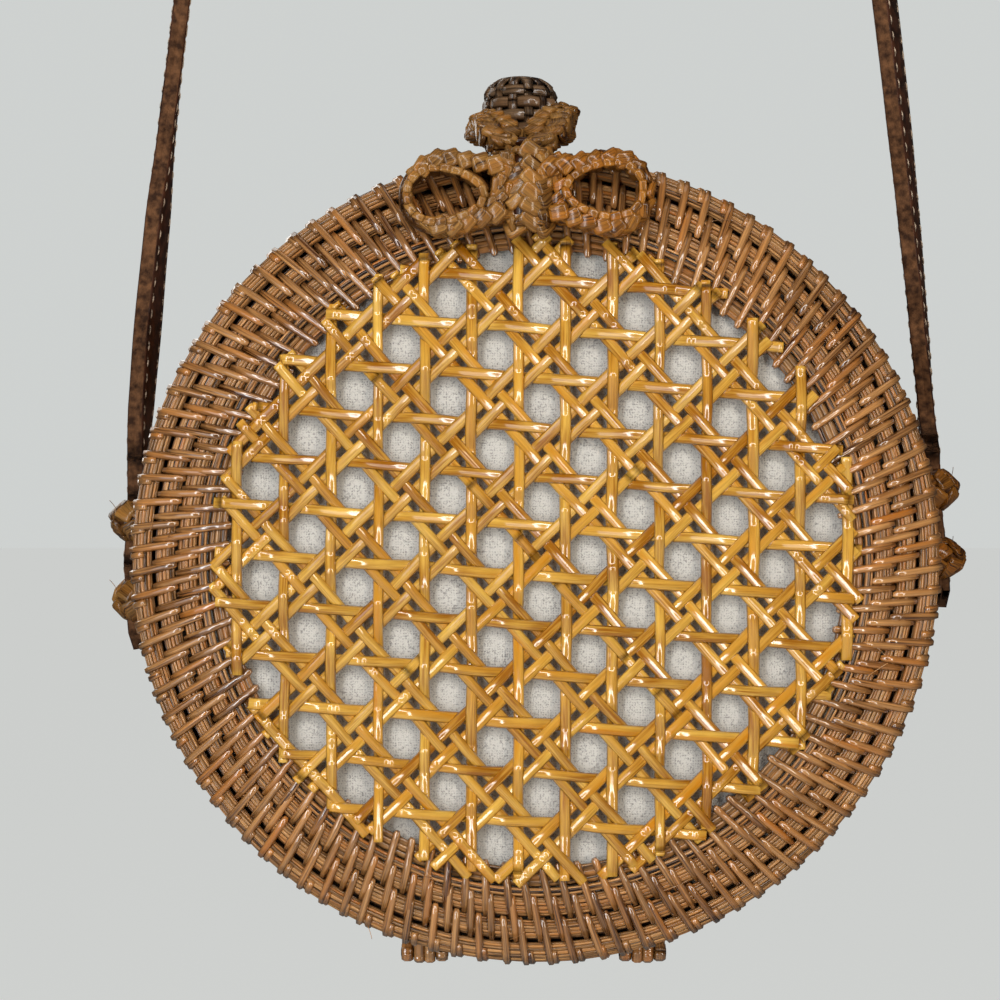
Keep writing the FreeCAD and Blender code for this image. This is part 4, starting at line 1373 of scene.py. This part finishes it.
knob_core = new_work()
points = []
for radius, height in KNOB_PROFILE:
    x = KNOB_X + max(0.0, radius - KNOB_CORE_SET_IN)
    points.append(knob_core.verts.new((x, KNOB_Y, height - (0.6 if radius < 7 else 0))))
edges = [knob_core.edges.new(pair) for pair in zip(points, points[1:])]
bmesh.ops.spin(knob_core, geom=points + edges, cent=(KNOB_X, KNOB_Y, 0), axis=(0, 0, 1), dvec=(0, 0, 0),
               angle=2 * math.pi, steps=28, use_merge=True)
bmesh.ops.remove_doubles(knob_core, verts=knob_core.verts, dist=0.02)
open_edges = [edge for edge in knob_core.edges if edge.is_boundary]
bmesh.ops.holes_fill(knob_core, edges=open_edges, sides=0)
knob_work = new_work()
# The core keeps tone 0, the darkest colour of its finish: painted shade between the uprights and bands.
join_into(knob_work, knob_core)
for number in range(KNOB_UPRIGHTS):
    knob_upright(knob_work, number)
print("knob uprights:", KNOB_UPRIGHTS)

# %% [markdown]
# ## The knob's bands
# Flat bands run round the uprights, over one and under the next, and each starts the other way from the band
# below it. A band goes a little more than once round, so that its ends overlap.

# %% Bands
OVERLAP = 1.02
band_strip = straight_strip(84, 6, 1.0, 0.3)


def knob_radius(z):
    """Radius of the knob's profile at a height."""
    for low, high in zip(knob_path, knob_path[1:]):
        if z <= high.y:
            return low.x + (high.x - low.x) * (z - low.y) / (high.y - low.y)
    return 5.0


def knob_band(work, row, height):
    """One band, which moves in and out against the uprights."""

    def bend(along, across, up):
        turn = 2 * math.pi * along * OVERLAP
        z = height + across * 1.5
        radius = knob_radius(z) - WEAVE * math.cos(math.pi * row + KNOB_UPRIGHTS / 2 * turn) + up * 0.5
        return knob_place(radius, turn, z)

    lay(work, band_strip, 58.0, 3.0, draw.gauss(0.6, 0.12), draw.uniform(0, SEEDS), bend)


for row, height in enumerate(BAND_HEIGHTS):
    knob_band(knob_work, row, height)
finish_piece(knob_work, "knob_weave", dark_finish, "back_half", "dark_rattan", "knob")

# %% [markdown]
# ## The knob's stem
# The knob stands on a short stem, which three turns of the same dark leaf wrap. A cylinder is enough for the
# wood inside them.

# %% Stem
STEM_TURNS, STEM_Z, STEM_PITCH = 3, 99.6, 1.5


def stem_turn(work, number):
    """One turn of leaf round the stem."""

    def bend(along, across, up):
        turn = 2 * math.pi * along * OVERLAP
        return knob_place(2.9 + up * 0.6, turn, STEM_Z + STEM_PITCH * number + across * 0.85)

    lay(work, band_strip, 18.0, 1.7, 0.3, draw.uniform(0, SEEDS), bend)


stem_work = new_work()
for number in range(STEM_TURNS):
    stem_turn(stem_work, number)
bmesh.ops.create_cone(stem_work, cap_ends=True, segments=20, radius1=2.8, radius2=2.8, depth=5.0,
                      matrix=Matrix.Translation((KNOB_X, KNOB_Y, 101.2)))
finish_piece(stem_work, "knob_stem_winding", dark_finish, "back_half", "dark_rattan", "knob_stem")

# %% [markdown]
# ## Loose hairs
# Split palm never lies quite clean: here and there a fibre has come loose and stands away. A particle
# system could grow such hairs, but a very thin strip that curls off to one side has grain and tone like the
# rest. A few dozen are scattered over the rim, and each keeper below gets one.

# %% Hairs on the rim
HAIRS, HAIR_RADIUS = 34, 0.08
hair_strip = straight_strip(10, 4, 1.0, 1.0)


def hair(work, start, way, length, curl):
    """One loose fibre from a place on the bag, along a direction, curling upwards or downwards."""
    out = way.cross(FACING).normalized()

    def bend(along, across, up):
        aside = curl * along ** 2 * length + up * HAIR_RADIUS
        return start + way * along * length + out * aside + FACING * (across * HAIR_RADIUS + along)

    lay(work, hair_strip, length, 0.2, draw.uniform(0.2, 0.9), draw.uniform(0, SEEDS), bend)


hair_work = new_work()
for number in range(HAIRS):
    turn = draw.uniform(0, 2 * math.pi)
    radius = draw.uniform(78, 99)
    y = -39.4 + max(0.0, radius - 96) * 0.8
    start = Vector((radius * math.cos(turn), y, radius * math.sin(turn)))
    way = Vector((math.cos(turn + draw.gauss(1.6, 0.7)), 0, math.sin(turn + draw.gauss(1.6, 0.7))))
    hair(hair_work, start, way.normalized(), draw.uniform(2.5, 7.0), draw.gauss(0, 0.35))
finish_piece(hair_work, "loose_hairs", stitch_finish, "front_half", "coiled_rattan")

# %% [markdown]
# ## Strap keepers
# On each side the strap passes down through two plaited keepers sewn to the back half. A keeper is a band
# that comes out of the wall, goes round the strap and returns. It is plaited first: two rows of pillows over
# a bar painted dark as shade, and a thin binding along both edges. Then its points are drawn in, more so
# towards the edges, and the band bulges in the middle.

# %% Keepers
STRAP_X, STRAP_Y = 104.2, 3.3
# Side, height and how far each one stands out
KEEPERS = {"left_upper": (-1, 9.0, 0.2), "left_lower": (-1, -11.7, -0.4),
           "right_upper": (1, 17.2, 0.8), "right_lower": (1, -0.8, 2.6)}
KEEPER_TURN = [(99.4, -7.4), (105.6, -7.4), (107.8, -6.6), (109.0, -4.4), (109.2, 0), (109.0, 4.4),
               (107.8, 6.6), (105.6, 7.4), (96.4, 7.4)]
KEEPER_HALF = 5.4


def strap_keeper(label, side, height, reach):
    """One keeper on a side of the bag, at a height, standing out by its reach."""
    work = new_work()
    path = [Vector((x + (reach if x > BAG_RADIUS else 0), y)) for x, y in KEEPER_TURN]
    total = path_length(path)

    def keeper_place(flat, z):
        return Vector((side * flat.x, STRAP_Y + flat.y, z))

    def ways(place, way):
        here = keeper_place(place, 0)
        return keeper_place(place + way, 0) - here, keeper_place(place + Vector((way.y, -way.x)), 0) - here

    def core(along, across, up):
        place, way = on_path(path, along * total)
        return keeper_place(place + Vector((way.y, -way.x)) * across * 0.9, height + up * 4.4)

    # The bar has tone 0, the darkest colour of the leaf: painted shade between the pillows.
    lay(work, bar, total, 2.0, 0.0, 1.0, core)
    for row, shift in ((-1, 0.25), (1, 0.6)):
        for flat, way in stations_on(path, 4.3, shift):
            along, out = ways(flat, way)
            place = keeper_place(flat, height + row * 2.5) + out * 0.7
            lay_pillow(work, place, along, UPWARDS * side, (5.0, 4.8, 2.6), side * row * 28, 0.4)
    for end in (-1, 1):
        for flat, way in stations_on(path, 3.9, 0.4):
            along, out = ways(flat, way)
            lay_pillow(work, keeper_place(flat, height + end * 4.5), along, out, (4.2, 2.8, 2.0), 0, 0.25)
    for point in work.verts:
        bulge = 1 - 0.5 * min(1.0, abs(point.co.z - height) / KEEPER_HALF) ** 2
        if abs(point.co.x) > STRAP_X:
            point.co.x = side * (STRAP_X + (abs(point.co.x) - STRAP_X) * bulge)
        point.co.y = STRAP_Y + (point.co.y - STRAP_Y) * (0.25 + 0.75 * bulge)
    root = keeper_place(Vector((108.6, -6.0)), height + 2.4)
    hair(work, root, Vector((side * 0.4, 0, 1)).normalized(), 3.4, -0.2)
    finish = plait_finish if side < 0 else tan_finish
    finish_piece(work, "keeper_" + label, finish, "back_half", "plaited_rattan", "strap_loop_" + label)


for label, (side, height, reach) in KEEPERS.items():
    strap_keeper(label, side, height, reach)

# %% [markdown]
# ## Hinge windings and pegs
# At the bottom, wound cane holds the two halves together: the front winding turns on a peg between two back
# windings, like the knuckles of a hinge. Each turn is a strip most of the way round the peg, with a tail
# that climbs straight up into the coiled wall.

# %% Hinge
HINGE_X, HINGE_Z = 28.5, -104.0
TURN_WIDTH, TURN_STEPS, TURN_ANGLE = 2.7, 24, math.radians(300)
PEG_RADIUS, PEG_LENGTH = 1.4, 12.4
FRONT_WINDING_R, BACK_WINDING_R = 2.4, 2.0
winding_strip = straight_strip(40, 6, 1.0, 0.3)


def winding_turn(work, x, width, y_way, coil_r):
    """One turn of cane round the peg, with a tail that climbs to the wall."""
    path = [Vector((y_way * coil_r, -math.sqrt(OUTER_COIL_R ** 2 - x * x)))]
    for step in range(TURN_STEPS + 1):
        angle = -TURN_ANGLE * step / TURN_STEPS
        path.append(Vector((y_way * math.cos(angle) * coil_r, HINGE_Z + math.sin(angle) * coil_r)))
    total = path_length(path)

    def bend(along, across, up):
        place, way = on_path(path, along * total)
        out = Vector((-way.y, way.x)) * y_way
        place = place + out * up * 0.55
        return Vector((x + across * width * 0.52, place.x, place.y))

    lay(work, winding_strip, total, 2.6, draw.gauss(0.6, 0.1), draw.uniform(0, SEEDS), bend)


def winding(work, start_x, width, y_way, coil_r):
    """Turns of cane side by side; the way along Y is 1 for the back half and -1 for the front half."""
    turns = round(width / TURN_WIDTH)
    for number in range(turns):
        winding_turn(work, start_x + width * (number + 0.5) / turns, width / turns, y_way, coil_r)


for label, side in (("left", -1), ("right", 1)):
    middle = side * HINGE_X
    front_work = new_work()
    winding(front_work, middle - 2.7, 5.4, -1, FRONT_WINDING_R)
    finish_piece(front_work, "front_winding_" + label, stitch_finish, "front_half", "cane",
                 "front_lashing_" + label)
    back_work = new_work()
    winding(back_work, middle - 6.0, 3.0, 1, BACK_WINDING_R)
    winding(back_work, middle + 3.0, 3.0, 1, BACK_WINDING_R)
    finish_piece(back_work, "back_winding_" + label, stitch_finish, "back_half", "cane",
                 "back_lashing_" + label)
    peg_work = new_work()
    peg_place = Matrix.Translation((middle, 0, HINGE_Z)) @ Matrix.Rotation(math.radians(90), 4, "Y")
    bmesh.ops.create_cone(peg_work, cap_ends=True, segments=20, radius1=PEG_RADIUS, radius2=PEG_RADIUS,
                          depth=PEG_LENGTH, matrix=peg_place)
    caps = [edge for edge in peg_work.edges if any(len(face.verts) > 4 for face in edge.link_faces)]
    bmesh.ops.bevel(peg_work, geom=caps, offset=0.35, offset_type="OFFSET", segments=2, profile=0.5,
                    affect="EDGES", material=-1)
    finish_piece(peg_work, "peg_" + label, splint_finish, "back_half", "cane", "hinge_peg_" + label)

# %% [markdown]
# ## Leather and thread
# The strap is dark leather, paler and duller on its cut edges, sewn with a light thread. Both leathers share
# one recipe: blotches between two colours, with pebbles of a Voronoi texture as the grain. On the cut edge
# the pebbles are finer, and the gloss is gone.


# %% Leather finish and thread
def leather_finish(name, dark, light, gloss, grain):
    """Leather: blotches between two colours, and a pebbled grain of the given scale."""
    material = bpy.data.materials.new(name)
    material.use_nodes = True
    tree = material.node_tree
    shader = tree.nodes["Principled BSDF"]
    shader.inputs["Specular IOR Level"].default_value = 0.2
    shader.inputs["Coat Weight"].default_value = gloss
    shader.inputs["Coat Roughness"].default_value = 0.3
    coordinates = tree.nodes.new("ShaderNodeTexCoord").outputs["Object"]
    pebbles = tree.nodes.new("ShaderNodeTexVoronoi")
    pebbles.inputs["Scale"].default_value = grain
    link(tree, coordinates, pebbles.inputs["Vector"])
    blotches = noise_node(tree, coordinates, grain / 5, 5.0)
    link(tree, two_tones(tree, blotches, 0.35, dark, 0.68, light), shader.inputs["Base Color"])
    rough = math_node(tree, "ADD", math_node(tree, "MULTIPLY", blotches, 0.3), 0.75 - gloss * 1.8)
    link(tree, rough, shader.inputs["Roughness"])
    add_bump(tree, shader, pebbles.outputs["Distance"], 0.00015, 0.6)
    return material


leather = leather_finish("strap_leather", (0.018, 0.005, 0.002), (0.078, 0.024, 0.009), 0.12, 1500.0)
cut_edge = leather_finish("strap_cut_edge", (0.03, 0.011, 0.004), (0.15, 0.066, 0.028), 0.0, 2600.0)
thread = bpy.data.materials.new("strap_thread")
thread.use_nodes = True
thread_shader = thread.node_tree.nodes["Principled BSDF"]
thread_shader.inputs["Base Color"].default_value = (0.48, 0.36, 0.26, 1)
thread_shader.inputs["Roughness"].default_value = 0.7
print("strap materials:", [leather.name, cut_edge.name, thread.name])

# %% [markdown]
# ## The line of the strap
# The strap runs up from the keepers, leans in towards the hook it hangs from, and comes down again, 1.2
# metres in all. On each side it follows one wide arc, which leans in more and more on its way up. A small
# arc over the hook joins the two. Below, the ends pass through the keepers in a gentle wave.

# %% Line of the strap
PIVOT_Z = 28.0
SWEEP_STEPS, HOOK_STEPS = 60, 16
lean_low, lean_high, hook_r = math.radians(4.3), math.radians(16.0), 12.0
sweep_r = (STRAP_X - hook_r * math.cos(lean_high)) / (math.cos(lean_low) - math.cos(lean_high))
sweep_x = STRAP_X - sweep_r * math.cos(lean_low)
sweep_z = PIVOT_Z - sweep_r * math.sin(lean_low)
hook_z = sweep_z + (sweep_r - hook_r) * math.sin(lean_high)
sweep = []
for step in range(SWEEP_STEPS + 1):
    angle = lean_low + (lean_high - lean_low) * step / SWEEP_STEPS
    sweep.append(Vector((sweep_x + sweep_r * math.cos(angle), sweep_z + sweep_r * math.sin(angle))))
over_hook = []
for step in range(1, HOOK_STEPS):
    angle = lean_high + (math.pi - 2 * lean_high) * step / HOOK_STEPS
    over_hook.append(Vector((hook_r * math.cos(angle), hook_z + hook_r * math.sin(angle))))
RIGHT_END = [(106.6, -13.8), (106.9, -8.0), (106.2, 0.0), (105.0, 9.0), (104.4, 17.0), (104.2, 22.0)]
LEFT_END = [(-104.2, 22.0), (-104.1, 14.0), (-104.5, 6.0), (-105.2, -1.5), (-104.4, -12.0), (-104.3, -18.0),
            (-103.2, -24.7)]
strap_line = [Vector(place) for place in RIGHT_END] + sweep + over_hook
strap_line += [Vector((-place.x, place.y)) for place in reversed(sweep)]
strap_line += [Vector(place) for place in LEFT_END]
strap_total = path_length(strap_line)
print("strap length in metres:", round(strap_total / 1000, 3))

# %% [markdown]
# ## The twist of the strap
# No strap hangs quite flat: on its way up it turns a little, differently on the two sides. The twist is
# given at a few heights and eased between them with the function that weaves the cane. At the flexing place
# just above the keepers it is zero, so the bag swings cleanly.

# %% Twist
# Twist in degrees at heights above the flexing place; on the left, a minus turns the inner face forward.
LEFT_TWIST = [(0, 0), (4, -5), (12, -9), (31, -12.5), (57, -8),
              (84, 5), (105, 9), (300, 9), (500, 0), (900, 0)]
RIGHT_TWIST = [(0, 0), (6, 9), (34, 16), (62, 21.5), (89, 26),
               (118, 27), (300, 27), (500, 0), (900, 0)]
LOOK_AROUND = 6
BACKWARDS = Vector((0, 1, 0))


def twist_at(place):
    """How far the strap has turned on its way up, in radians."""
    marks = LEFT_TWIST if place.x < 0 else RIGHT_TWIST
    return math.radians(ease(marks, max(0.0, place.y - PIVOT_Z)))


def strap_frame(distance):
    """Place, direction across and direction out at a distance along the strap."""
    place, _ = on_path(strap_line, distance)
    before, _ = on_path(strap_line, min(strap_total, max(0.0, distance - LOOK_AROUND)))
    after, _ = on_path(strap_line, min(strap_total, max(0.0, distance + LOOK_AROUND)))
    way = (after - before).normalized()
    out = Vector((way.y, 0, -way.x))
    twist = twist_at(place)
    across = BACKWARDS * math.cos(twist) + out * math.sin(twist)
    out = out * math.cos(twist) - BACKWARDS * math.sin(twist)
    return Vector((place.x, STRAP_Y, place.y)), across, out


for twist_side, marks in (("left", LEFT_TWIST), ("right", RIGHT_TWIST)):
    print("largest twist on the", twist_side, "in degrees:", max(abs(twist) for _, twist in marks))

# %% [markdown]
# ## The leather band
# Two plies of leather are glued back to back, so the section is a flat rectangle with soft corners and a
# groove on each edge where the plies meet. It is extruded in steps along a straight line, its edge faces get
# the paler leather, and then each point moves to its place on the strap. The two ends are cut round.

# %% Strap band
STRAP_WIDTH, STRAP_THICKNESS, STRAP_STEPS = 10.0, 4.2, 260
GROOVE_DEPTH, GROOVE_HALF, CORNER = 0.18, 0.22, 0.35
EDGE_REACH = 0.3
half_w, half_t = STRAP_WIDTH / 2, STRAP_THICKNESS / 2


def finish_strap(work, name, materials, *stands_for):
    """Strap pieces bend where the bag swings: their ends stay with the back half."""
    piece = smooth_object(work, name, materials)
    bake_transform(piece, "back_half", "strap", TO_FRAME @ Vector((0, STRAP_Y, PIVOT_Z - 6)),
             TO_FRAME @ Vector((0, STRAP_Y, PIVOT_Z + 12)))
    if stands_for:
        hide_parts(*stands_for)


quarter = [(half_w - GROOVE_DEPTH, 0.0), (half_w, GROOVE_HALF),
           (half_w, half_t - CORNER), (half_w - CORNER, half_t)]
section = quarter + [(-x, y) for x, y in reversed(quarter)]
section += [(-x, -y) for x, y in quarter[1:]] + [(x, -y) for x, y in reversed(quarter[1:])]
strap_work = bmesh.new()
cap = strap_work.faces.new([strap_work.verts.new((0, x, y)) for x, y in section])
for number in range(STRAP_STEPS):
    moved = bmesh.ops.extrude_face_region(strap_work, geom=[cap])["geom"]
    cap = next(item for item in moved if isinstance(item, bmesh.types.BMFace))
    bmesh.ops.translate(strap_work, verts=cap.verts, vec=(1.0, 0, 0))
for face in strap_work.faces:
    if all(abs(point.co.y) > half_w - EDGE_REACH for point in face.verts):
        face.material_index = 1
for point in strap_work.verts:
    step, x, y = point.co
    distance = strap_total * step / STRAP_STEPS
    from_end = min(distance, strap_total - distance)
    if from_end < half_w:
        x *= math.sqrt(max(0.02, 1 - (1 - from_end / half_w) ** 2))
    place, across, out = strap_frame(distance)
    point.co = place + across * x + out * y
finish_strap(strap_work, "strap_band", [leather, cut_edge], "strap_inner_ply", "strap_outer_ply",
             "strap_end_left", "strap_end_right")

# %% [markdown]
# ## The strap's stitches
# A row of stitches runs along each edge, on both faces. One stitch is a short round strip whose ends sink
# into the leather, where the thread goes through. It covers only part of its step, so a gap is left between
# a stitch and the next.

# %% Strap stitches
STITCH_STEP, STITCH_SHARE, FROM_END = 4.2, 0.72, 6
ROW_OFFSET = 3.7
stitch_bar = straight_strip(3, 6, 1.0, 1.0)


def strap_stitch(work, start, edge, face):
    """One stitch on an edge (-1 or 1) and a face (-1 or 1) of the strap."""

    def bend(along, across, up):
        place, over, out = strap_frame(start + along * STITCH_STEP * STITCH_SHARE)
        sink = 0.12 - 0.4 * (2 * along - 1) ** 2
        return place + over * (edge * ROW_OFFSET + across * 0.26) + out * face * (half_t + sink + up * 0.22)

    lay(work, stitch_bar, 3.0, 0.7, 0.5, 0, bend)


thread_work = new_work()
for number in range(int((strap_total - 2 * FROM_END) / STITCH_STEP)):
    for edge in (-1, 1):
        for face in (-1, 1):
            strap_stitch(thread_work, FROM_END + number * STITCH_STEP, edge, face)
finish_strap(thread_work, "strap_stitches", [thread])
